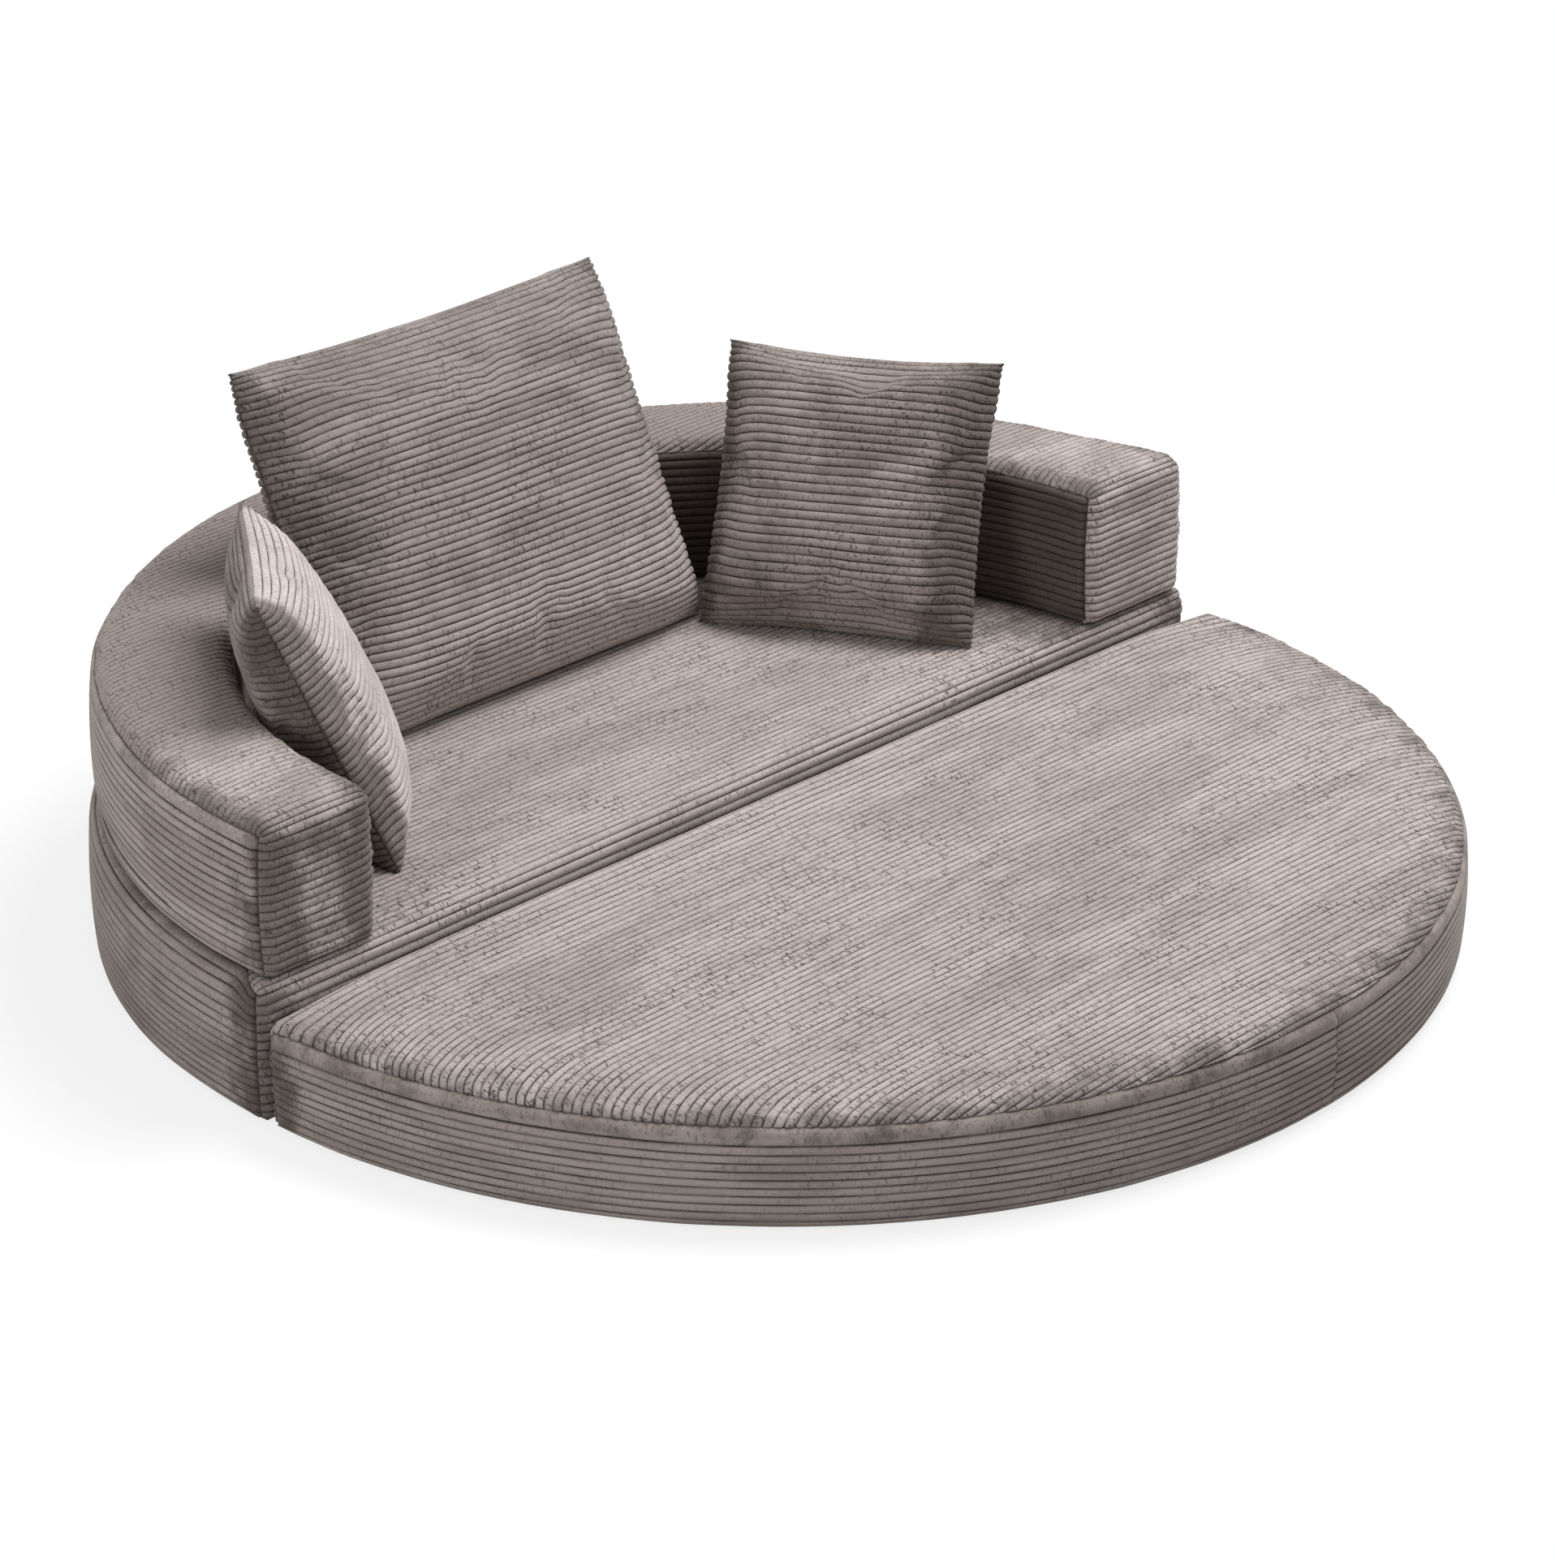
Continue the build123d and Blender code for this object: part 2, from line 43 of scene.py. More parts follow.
# the corduroy; a wale's six rows of points lie at stationShares of its pitch and stand riseShares high
corduroy = {
    "pitch": 0.0132,
    "height": 0.0036,
    "stationShares": (0.0, 0.1, 0.27, 0.5, 0.73, 0.9),
    "riseShares": (0.0, 0.62, 0.93, 1.0, 0.93, 0.62),
    "sink": 0.0026,
    "thickness": 0.003,
    "tipLength": 0.006,  # a wale's end rounds off over this length
    "tipShadow": 0.0022,
    "seamDark": 0.55,
    "unevenness": 0.16,
    "unevenScale": 14,
    "dentDepth": 0.0012,
    "dentScale": 7,
    "puckerDepth": 0.0024,
    "puckerWidth": 0.016,
    "puckerReach": 0.05,
    "zipCrest": 0.9,  # the cloth behind a zip tape has no dark lines
    "turnUnder": 0.012,  # a panel turns in this far below its block
    "seamGap": 0.002,
}
pressedTop = 0.2252  # the base's cloth lies flat at this height under the backrest
tiny, small = 1e-9, 1e-6  # keep divisions away from zero


def smooth(low, high, x):
    t = np.clip((x - low) / (high - low), 0, 1)
    return t * t * (3 - 2 * t)


def softNoise(points, scale, seed):
    # smooth seeded noise, about -1 to 1, from a lattice of random numbers
    size = 32
    lattice = np.random.default_rng(seed).uniform(-1, 1, (size, size, size))
    spot = np.asarray(points) * scale + 500.0  # keeps the cells above zero
    cell = np.floor(spot).astype(int)
    part = spot - cell
    part = part * part * (3 - 2 * part)
    total = np.zeros(len(spot))
    for i in (0, 1):
        for j in (0, 1):
            for k in (0, 1):
                weight = np.prod(np.where([i, j, k], part, 1 - part), axis=1)
                corner = (cell + [i, j, k]) % size
                total += lattice[corner[:, 0], corner[:, 1], corner[:, 2]] * weight
    return total


def waleRows(*stretches):
    # row places over one or more stretches of (low, high, pitch, share of the wale height), six to a wale
    places, rises = [], []
    for low, high, pitch, share in stretches:
        count = max(1, round((high - low) / pitch))
        step = (high - low) / count
        for wale in range(count):
            for station, rise in zip(corduroy["stationShares"], corduroy["riseShares"]):
                places.append(low + step * (wale + station))
                rises.append(rise * share)
    places.append(stretches[-1][1])
    rises.append(0.0)
    return np.array(places), np.array(rises)


def vertexValues(mesh, key):
    values = np.zeros(len(mesh.vertices) * 3)
    mesh.vertices.foreach_get(key, values)
    return values.reshape(-1, 3)


def gridMesh(name, columns, rows):
    bm = bmesh.new()
    bmesh.ops.create_grid(bm, x_segments=columns, y_segments=rows, size=1.0)
    mesh = bpy.data.meshes.new(name)
    bm.to_mesh(mesh)
    bm.free()
    points = vertexValues(mesh, "co")
    column = np.rint((points[:, 0] + 1) / 2 * columns).astype(int)
    row = np.rint((points[:, 1] + 1) / 2 * rows).astype(int)
    return mesh, column, row


def addObject(name, data):
    thing = bpy.data.objects.new(name, data)
    scene.collection.objects.link(thing)
    return thing


def addPiece(name, mesh, points, crest, edge):
    # crest is 0 in the valleys and 1 on the wales; edge is 1 at the seams and 0 away from them, and also
    # carries painted shade on the seat, the left arm's end and the right pillow's right end, and painted
    # light on the right arm's end
    mesh.vertices.foreach_set("co", np.asarray(points, float).ravel())
    for key, values in (("crest", crest), ("edge", edge)):
        attribute = mesh.attributes.new(key, "FLOAT", "POINT")
        attribute.data.foreach_set("value", np.asarray(values, np.float32))
    mesh.polygons.foreach_set("use_smooth", np.ones(len(mesh.polygons), bool))
    mesh.update()
    return addObject(name, mesh)


def faceOutwards(piece, facing):
    # turns the faces of an open panel so that most of them look along facing(point)
    samples = 400
    bm = bmesh.new()
    bm.from_mesh(piece.data)
    bm.faces.ensure_lookup_table()
    score = 0
    for face in bm.faces[:][:: max(1, len(bm.faces) // samples)]:
        score += face.normal.dot(Vector(facing(face.calc_center_median())))
    if score < 0:
        bmesh.ops.reverse_faces(bm, faces=bm.faces[:])
    bm.to_mesh(piece.data)
    bm.free()


def thicken(piece):
    shell = piece.modifiers.new("clothThickness", "SOLIDIFY")
    shell.thickness = corduroy["thickness"]
    shell.offset = -1
    shell.use_rim = True


# the three upholstered blocks are parts of a drum that lie behind a straight face, in metres
blocks = {
    "base": SimpleNamespace(
        radius=1.050, innerRadius=0.0, bulge=0.006, centre=0.012, bottom=0.0, top=0.226,
        sideRound=0.019, topRound=0.022, faceRound=0.027, bottomRound=0.017,
        crown=0.005, crownPower=2, droop=0.002, droopWidth=0.05, seamAtFace=0.010, seamAtSide=-0.030,
        bend=0.0, lip=0.0, flare=0.021, place=(-0.036, 0.0235), turned=False, seed=11),
    "backrest": SimpleNamespace(
        radius=1.036, innerRadius=0.802, bulge=0.009, centre=0.012, bottom=0.226, top=0.475,
        sideRound=0.026, topRound=0.028, faceRound=0.030, bottomRound=0.017,
        crown=0.005, crownPower=2, droop=0.004, droopWidth=0.06, seamAtFace=0.010, seamAtSide=0.010,
        bend=0.0, lip=0.0, flare=0.026, place=(-0.036, 0.0235), turned=False, seed=12),
    "front": SimpleNamespace(
        radius=1.086, innerRadius=0.0, bulge=0.006, centre=0.015, bottom=0.0, top=0.176,
        sideRound=0.022, topRound=0.022, faceRound=0.024, bottomRound=0.017,
        crown=0.009, crownPower=7, droop=0.004, droopWidth=0.07, seamAtFace=0.010, seamAtSide=0.005,
        bend=0.048, lip=0.011, flare=0.0, place=(0.0, 0.0155), turned=True, seed=13),
}


def roundedPoints(block, px, py, pz):
    # px, py, pz lie on the sharp block; gives the rounded place and the outward direction there
    ry = py - block.centre
    r = np.hypot(px, ry)
    hollow = block.innerRadius > 0
    wallSide = block.radius - block.bulge
    innerSide = block.innerRadius + block.bulge
    # how far a point lies within each rounding: the side, the straight face, the top and the bottom
    radial = np.clip((r - (wallSide - block.sideRound)) / block.sideRound, 0, None)
    if hollow:
        radial = radial - np.clip(((innerSide + block.sideRound) - r) / block.sideRound, 0, None)
    ahead = np.clip((block.faceRound - py) / block.faceRound, 0, None)
    above = np.clip((pz - (block.top - block.topRound)) / block.topRound, 0, None)
    below = np.clip(((block.bottom + block.bottomRound) - pz) / block.bottomRound, 0, None)
    n = np.maximum(np.sqrt(radial**2 + ahead**2 + above**2 + below**2), tiny)
    a, b, c, d = radial / n, ahead / n, above / n, below / n
    rNew = np.where(radial > 0, wallSide - block.sideRound + block.sideRound * a, r)
    if hollow:
        rNew = np.where(radial < 0, innerSide + block.sideRound + block.sideRound * a, rNew)
    half = (block.top - block.bottom) / 2
    lift = np.clip(1 - ((pz - (block.top + block.bottom) / 2) / half) ** 2, 0, 1)
    rNew = rNew + block.bulge * lift * a * np.abs(a)
    yNew = np.where(ahead > 0, block.faceRound - block.faceRound * b, py)
    zNew = np.where(above > 0, block.top - block.topRound + block.topRound * c, pz)
    zNew = np.where(below > 0, block.bottom + block.bottomRound - block.bottomRound * d, zNew)
    middle = (block.radius + block.innerRadius) / 2 if hollow else 0.0
    share = np.abs(r - middle) / (block.radius - middle)
    zNew = zNew + block.crown * np.clip(1 - share**block.crownPower, 0, 1) * c**2
    # the straight edge stands up a little, and the other edges droop
    fromWall = np.maximum(wallSide - r, 0)
    zNew = zNew + block.lip * (1 - smooth(0.0, 0.12, py)) * smooth(0.02, 0.25, fromWall) * c**2
    rim = fromWall if block.lip else np.minimum(fromWall, np.maximum(py, 0))
    if hollow:
        rim = np.minimum(rim, np.maximum(r - innerSide, 0))
    worn = (1 - np.clip(rim / block.droopWidth, 0, 1)) ** 2
    zNew = zNew - block.droop * worn * smooth(0.3, 1.0, (pz - block.bottom) / (2 * half))
    scale = np.where(r > small, rNew / np.maximum(r, small), 1)
    x = px * scale
    y = np.where(ahead > 0, yNew, block.centre + ry * scale)
    corner = (ahead > 0) & (np.abs(radial) > 0)
    xCorner = np.sign(px) * np.sqrt(np.maximum(rNew**2 - (y - block.centre) ** 2, 0))
    x = np.where(corner, xCorner, np.where(ahead > 0, px, x))
    rr = np.maximum(np.hypot(x, y - block.centre), tiny)
    direction = np.stack([a * x / rr, a * (y - block.centre) / rr - b, c - d], 1)
    length = np.maximum(np.linalg.norm(direction, axis=1), tiny)
    return np.stack([x, y, zNew], 1), direction / length[:, None]


def toRoom(block, points):
    # from the block's own frame to the shared one; the right arm's outer end is let out on the way
    out = points.copy()
    outside = smooth(0.80, 1.0, out[:, 0] / block.radius)
    out[:, 0] += block.flare * outside * (1 - smooth(0.02, 0.23, out[:, 1]))
    if block.turned:
        out[:, :2] *= -1
    out[:, 0] += block.place[0]
    out[:, 1] += block.place[1]
    return out


def roundedEnd(fromEnd, length):
    return np.sqrt(np.clip(1 - (1 - np.clip(fromEnd / length, 0, 1)) ** 2, 0, 1))


def raiseWales(block, place, direction, rise, fromEnd, along, seed, plump=0.0):
    # lifts the wales off the panel, with uneven heights, soft dents and puckers by the seams
    reach = corduroy["puckerReach"]
    tips = roundedEnd(fromEnd, corduroy["tipLength"])
    uneven = 1 + corduroy["unevenness"] * softNoise(place, corduroy["unevenScale"], seed)
    bold = 1 + plump * (1 - smooth(0.01, 0.06, fromEnd))
    dents = corduroy["dentDepth"] * softNoise(place, corduroy["dentScale"], block.seed)
    gathers = np.stack([along / corduroy["puckerWidth"], np.zeros_like(along), fromEnd / reach], 1)
    pucker = corduroy["puckerDepth"] * softNoise(gathers, 1, seed + 40)
    pucker = pucker * (1 - smooth(0.0, reach, fromEnd)) * smooth(0.0, 0.005, fromEnd)
    sink = corduroy["sink"] * (0.4 + 0.6 * smooth(0.0, corduroy["tipLength"], fromEnd))
    relief = corduroy["height"] * rise * tips * uneven * bold - sink + dents + pucker
    shown = 1 - corduroy["seamDark"] * (1 - roundedEnd(fromEnd, corduroy["tipShadow"]))
    return place + direction * relief[:, None], rise * shown


def endSpaced(share, span, zone, zoneShare):
    # share is 0 to 1 along half a row; on long rows the last zone metres get zoneShare of the columns
    enough = 1.6 * zone
    inner = np.maximum(span - zone, 0)
    cut = 1 - zoneShare
    spaced = np.where(share <= cut, share / cut * inner, inner + (share - cut) / zoneShare * zone)
    return np.where(span > enough, spaced, share * span)


def seamDrop(block, y):
    # how far below the top the side seam runs, from the straight face to the part behind it
    climbLength = 0.06
    share = smooth(block.seamAtFace, block.seamAtFace + climbLength, y)
    return block.seamAtFace + (block.seamAtSide - block.seamAtFace) * share


def zipGroove(across, along, middle, halfLength):
    # 1 where the cloth lies back behind a zip tape, 0 elsewhere
    beside = 1 - smooth(0.0052, 0.0074, np.abs(across - middle))
    return beside * (1 - smooth(halfLength, halfLength + 0.02, np.abs(along)))


def foldedOver(block, u, v, past, rim, topPlace):
    # joins a panel's part on the top with its part on the straight face, also round the upright corner;
    # u runs along the rows, v is above 0 on the top, past is how far u lies beyond the face
    overhang = block.seamAtFace
    tall = block.top - block.bottom
    faceX = np.sign(u) * np.where(past > 0, np.sqrt(rim**2 - (past - block.centre) ** 2), np.abs(u))
    facePlace = faceX, past + np.maximum(-v - tall, 0), block.top - np.clip(-v, 0, tall)
    weight = 1 - smooth(-overhang, overhang, v)
    fix = 1 / np.maximum(np.maximum(weight, 1 - weight), 0.5)
    cornerY = np.maximum(v, 0) + past * weight * fix
    cornerX = np.sign(u) * np.sqrt(np.maximum(rim**2 - (cornerY - block.centre) ** 2, 0))
    cornerZ = block.top - past * (1 - weight) * fix - np.maximum(-v, 0)
    near = (np.abs(v) < overhang) & (past > 0)
    together = zip((cornerX, cornerY, cornerZ), topPlace, facePlace)
    return [np.where(near, corner, np.where(v >= 0, above, ahead)) for corner, above, ahead in together]


# the straight faces: their wales, and the zip that runs low along each
seatFace = {"pitch": 0.0142, "boldPitch": 0.0168, "boldCount": 4, "boldShare": 1.35}
frontFace = {"pitch": 0.0140, "boldPitch": 0.0140, "boldCount": 2, "boldShare": 1.1}
faceZip = {"height": 0.042, "halfLength": 0.750, "clothAt": 0.0052}


# top panel of a half drum: rows run along X over the top and down the straight face
def drumPanel(name, block, columns, faceWales):
    overhang = block.seamAtFace
    tall = block.top - block.bottom
    wallSide = block.radius - block.bulge
    faceSpan = math.sqrt(wallSide**2 - block.centre**2)
    high = block.centre + wallSide + block.seamAtSide - corduroy["seamGap"]
    boldEdge = faceWales["boldPitch"] * faceWales["boldCount"]
    boldLow, boldHigh = -boldEdge * 0.7, boldEdge * 0.3
    places, rises = waleRows((-tall - corduroy["turnUnder"], boldLow, faceWales["pitch"], 1.0),
                             (boldLow, boldHigh, faceWales["boldPitch"], faceWales["boldShare"]),
                             (boldHigh, high, corduroy["pitch"], 1.0))
    mesh, column, row = gridMesh(name, columns, len(places) - 1)
    v, rise = places[row], rises[row]
    ry = v - block.centre
    t = column / columns * 2 - 1
    hang = seamDrop(block, v)
    reachTop = np.sqrt(np.maximum((wallSide + hang) ** 2 - ry**2, small))
    span = np.where(v >= 0, reachTop, faceSpan + overhang)
    q = endSpaced(np.abs(t), span, zone=0.055, zoneShare=0.22)
    u = np.sign(t) * q
    fromEnd = span - q
    # on the top and down the curved side, where the wales bend towards the edge
    weight = smooth(overhang, overhang + 0.08, v) * (1 - smooth(0.55, 0.97, ry / wallSide))
    turn = np.sign(t) * block.bend * (1 - np.clip(fromEnd / 0.19, 0, 1)) ** 2 * weight
    spunX = u * np.cos(turn) - ry * np.sin(turn)
    spunY = u * np.sin(turn) + ry * np.cos(turn)
    s = np.hypot(spunX, spunY)
    shrink = np.where(s > wallSide, wallSide / np.maximum(s, small), 1)
    topPlace = spunX * shrink, block.centre + spunY * shrink, block.top - np.maximum(s - wallSide, 0)
    past = np.maximum(np.abs(u) - faceSpan, 0)
    place, direction = roundedPoints(block, *foldedOver(block, u, v, past, wallSide, topPlace))
    place, crest = raiseWales(block, place, direction, rise, fromEnd, v, block.seed + 3, 0.25)
    inside = zipGroove(place[:, 2], place[:, 0], faceZip["height"], faceZip["halfLength"]) * (v < 0)
    flat = np.stack([place[:, 0], np.full(len(place), faceZip["clothAt"]), place[:, 2]], 1)
    place = place + (flat - place) * inside[:, None]
    crest = crest * (1 - inside) + corduroy["zipCrest"] * inside
    rubbedAndShaded = 0.0
    if name == "seat_top":  # pressed flat where the backrest stands on it; in front of that, and towards the right, painted shade darkens the seat
        r = np.hypot(place[:, 0], place[:, 1] - block.centre)
        pressed = smooth(0.800, 0.815, r) * (place[:, 2] > 0.215) * smooth(0.02, 0.03, place[:, 1])
        place[:, 2] = place[:, 2] * (1 - pressed) + np.minimum(place[:, 2], pressedTop) * pressed
        # painted shade on the seat's top in front of the backrest and towards the right arm
        rubbedAndShaded = (0.55 * smooth(0.48, 0.76, r) + 0.30 * smooth(0.1, 0.5, place[:, 0])) * (v > 0)
    reachEdge = np.minimum(fromEnd, np.maximum(wallSide + hang - s, 0))
    edge = (1 - smooth(0.0, 0.13, reachEdge)) * (0.80 + 0.40 * (1 - smooth(-0.02, 0.0, v)))
    return mesh, place, crest, np.maximum(edge, rubbedAndShaded)


# the arms' ends: their wales start this far over the top edge, sag and waver
armFace = {"pitch": 0.0142, "waleShare": 1.1, "overEdge": 0.006, "sag": 0.0035, "waver": 0.0022}


# top panel of the C-shaped backrest, one side of it: rows run along X over the top and down the arm's end
def archPanel(name, block, columns, half):
    side = half["side"]
    overhang = block.seamAtFace
    tall = block.top - block.bottom
    outer, inner = block.radius - block.bulge, block.innerRadius + block.bulge
    outerSpan = math.sqrt(outer**2 - block.centre**2)
    innerSpan = math.sqrt(inner**2 - block.centre**2)
    low, high = -tall - corduroy["turnUnder"], block.centre + outer + overhang - corduroy["seamGap"]
    places, rises = waleRows((low, armFace["overEdge"], armFace["pitch"], armFace["waleShare"]),
                             (armFace["overEdge"], high, corduroy["pitch"], 1.0))
    mesh, column, row = gridMesh(name, columns, len(places) - 1)
    v, rise = places[row], rises[row]
    t = column / columns
    face = 1 - smooth(-0.03, 0.0, v)
    wander = softNoise(np.stack([t * 3, v * 9, 0 * t], 1), 1, block.seed + side)
    wave = armFace["sag"] * np.sin(t * math.pi) + armFace["waver"] * wander
    v = v - wave * face * np.clip(np.minimum(-v, v + tall) / 0.03, 0, 1) * (v < 0)
    ry = v - block.centre
    start = np.where(v >= 0, np.sqrt(np.maximum((inner - overhang) ** 2 - ry**2, 0)), innerSpan - overhang)
    end = np.where(v >= 0, np.sqrt(np.maximum((outer + overhang) ** 2 - ry**2, small)), outerSpan + overhang)
    halfSpan = (end - start) / 2
    apart = endSpaced(np.abs(t * 2 - 1), halfSpan, zone=0.05, zoneShare=0.4)
    u = (start + end) / 2 + np.sign(t * 2 - 1) * apart
    s = np.hypot(u, ry)
    wall = np.clip(s, inner, outer)
    shrink = wall / np.maximum(s, small)
    topPlace = u * shrink, block.centre + ry * shrink, block.top - np.abs(s - wall)
    past = np.maximum(u - outerSpan, 0) + np.maximum(innerSpan - u, 0)
    rim = np.where(u > outerSpan, outer, inner)
    place, direction = roundedPoints(block, *foldedOver(block, u, v, past, rim, topPlace))
    # there is no seam where the two sides meet
    fromEnd = np.where((start <= 0) & (u < halfSpan), 1.0, halfSpan - apart)
    place, crest = raiseWales(block, place, direction, rise, fromEnd, v, block.seed + 5 + side, 0.3)
    place[:, 0] *= side
    reachEdge = np.minimum(fromEnd, np.maximum(outer + overhang - s, 0))
    # painted shade on the left arm's end and painted light on the right arm's end, by paintedFaceShade
    edge = 1 - smooth(0.0, 0.10, reachEdge) + half["paintedFaceShade"] * face
    return mesh, place, crest, edge


# the bands' rows drift a little, more so by their ends, and a band's join has a narrow groove and a step
bandSewing = {"drift": 0.0013, "endDrift": 0.0028, "pipeShade": 0.55, "seamRise": 0.45,
              "joinGap": 0.0022, "joinStep": 0.0055, "joinSlope": 3.5}


# band round a block's curved wall: rows run round it, from under the bottom edge up to a pipe at the top seam
def bandPanel(name, block, columns, band):
    top, bottom, overhang = block.top, block.bottom, block.seamAtFace
    radius = block.innerRadius + block.bulge if band["inside"] else block.radius - block.bulge
    seamLevel = top - overhang
    pipeLow = seamLevel - band["pipe"]
    places, rises = waleRows((bottom - corduroy["turnUnder"], pipeLow, band["pitch"], 1.0),
                             (pipeLow, seamLevel, band["pipe"], band["pipeShare"]))
    rises[-1] = bandSewing["seamRise"]
    mesh, column, row = gridMesh(name, columns, len(places) - 1)
    start = math.asin((overhang - block.centre) / radius)
    sweep = math.pi - 2 * start
    angle = start + sweep * column / columns
    if "join" in band:  # the band's two ends meet on one column, with its neighbours close by
        joinColumn = round((math.radians(band["join"]) - start) / sweep * columns)
        joinAngle = start + sweep * joinColumn / columns
        beside = column - joinColumn
        angle = np.where(np.abs(beside) == 1, joinAngle + beside * bandSewing["joinGap"] / radius, angle)
    # the top rows climb with the seam
    climb = overhang - seamDrop(block, block.centre + radius * np.sin(angle))
    z = places[row] + climb * np.clip((places[row] - bottom) / (seamLevel - bottom), 0, 1) ** 6
    up = np.clip((z - bottom) / (top - bottom), 0, 1)
    calm = np.sin(np.clip((z - bottom) / (pipeLow - bottom), 0, 1) * math.pi)
    ring = np.stack([np.cos(angle), np.sin(angle), up * 0.6], 1)
    fromEnd = np.minimum(angle - start, math.pi - start - angle) * radius
    endDrift = bandSewing["endDrift"] * (1 - smooth(0.0, 0.12, fromEnd))
    drift = bandSewing["drift"] * softNoise(ring, 6, block.seed + 20)
    drift = (drift + endDrift * softNoise(ring, 17, block.seed + 21)) * calm
    edge = band["endShade"] * (1 - smooth(0.0, 0.14, fromEnd))
    edge = np.maximum(edge, bandSewing["pipeShade"] * smooth(pipeLow - 0.004, pipeLow + 0.004, places[row]))
    if "join" in band:
        beyond = (angle - joinAngle) * radius
        drift = drift + bandSewing["joinStep"] * calm * smooth(-0.001, 0.001, beyond)
        fromEnd = np.minimum(fromEnd, np.abs(beyond) * bandSewing["joinSlope"])
    # past the bottom edge it turns in below the block, and past the top edge it lies on top
    turnedIn = np.maximum(bottom - z, 0) + np.maximum(z - top, 0)
    r = radius + turnedIn * (1 if band["inside"] else -1)
    level = np.clip(z + drift, bottom, top)
    place, direction = roundedPoints(block, r * np.cos(angle), block.centre + r * np.sin(angle), level)
    place, crest = raiseWales(block, place, direction, rises[row], fromEnd, z, block.seed + 9)
    if "zip" in band:
        zipHeight, halfLength, clothRadius = band["zip"]
        inside = zipGroove(place[:, 2], (angle - math.pi / 2) * radius, zipHeight, halfLength)
        back = (np.hypot(place[:, 0], place[:, 1] - block.centre) - clothRadius) * inside
        place[:, 0] -= back * np.cos(angle)
        place[:, 1] -= back * np.sin(angle)
        crest = crest * (1 - inside) + corduroy["zipCrest"] * inside
    if block.seamAtSide < 0:  # pressed flat under what stands on it
        place[:, 2] = np.where(z > top, np.minimum(place[:, 2], pressedTop), place[:, 2])
    return mesh, place, crest, edge


def nodeTree(name):
    material = bpy.data.materials.new(name)
    material.use_nodes = True
    tree = material.node_tree
    tree.nodes.clear()
    output = tree.nodes.new("ShaderNodeOutputMaterial")
    shader = tree.nodes.new("ShaderNodeBsdfPrincipled")
    tree.links.new(shader.outputs["BSDF"], output.inputs["Surface"])
    return material, tree, shader


def setInputs(node, values):
    for key, value in values.items():
        node.inputs[key].default_value = value


def colourMix(tree, a, b, factor):
    mix = tree.nodes.new("ShaderNodeMix")
    mix.data_type = "RGBA"
    for socket, value in ((mix.inputs[6], a), (mix.inputs[7], b)):
        if isinstance(value, tuple):
            socket.default_value = (*value, 1)
        else:
            tree.links.new(value, socket)
    if isinstance(factor, float):
        mix.inputs[0].default_value = factor
    else:
        tree.links.new(factor, mix.inputs[0])
    return mix.outputs[2]


def spread(tree, value, low, high, outLow=0.0, outHigh=1.0):
    node = tree.nodes.new("ShaderNodeMapRange")
    node.interpolation_type = "SMOOTHSTEP"
    setInputs(node, {"From Min": low, "From Max": high, "To Min": outLow, "To Max": outHigh})
    tree.links.new(value, node.inputs["Value"])
    return node.outputs["Result"]


def combined(tree, operation, a, b):
    node = tree.nodes.new("ShaderNodeMath")
    node.operation = operation
    for socket, value in zip(node.inputs, (a, b)):
        if isinstance(value, float):
            socket.default_value = value
        else:
            tree.links.new(value, socket)
    return node.outputs[0]


def grain(tree, coordinates, scale, detail, roughness=0.5, distortion=0.0):
    mapping = tree.nodes.new("ShaderNodeMapping")
    mapping.inputs["Scale"].default_value = scale
    tree.links.new(coordinates, mapping.inputs["Vector"])
    texture = tree.nodes.new("ShaderNodeTexNoise")
    setInputs(texture, {"Scale": 1.0, "Detail": detail, "Roughness": roughness, "Distortion": distortion})
    tree.links.new(mapping.outputs["Vector"], texture.inputs["Vector"])
    return texture.outputs["Fac"]


def surfaceValue(tree, key):
    attribute = tree.nodes.new("ShaderNodeAttribute")
    attribute.attribute_name = key
    return attribute.outputs["Fac"]


def raggedPlace(tree, coordinates, axis, noise, share):
    # how far along one axis a point lies, with a ragged border
    parts = tree.nodes.new("ShaderNodeSeparateXYZ")
    tree.links.new(coordinates, parts.inputs[0])
    return combined(tree, "ADD", parts.outputs[axis], combined(tree, "MULTIPLY", noise, share))


def addBump(tree, shader, height, strength, distance):
    bump = tree.nodes.new("ShaderNodeBump")
    setInputs(bump, {"Strength": strength, "Distance": distance})
    tree.links.new(height, bump.inputs["Height"])
    tree.links.new(bump.outputs["Normal"], shader.inputs["Normal"])
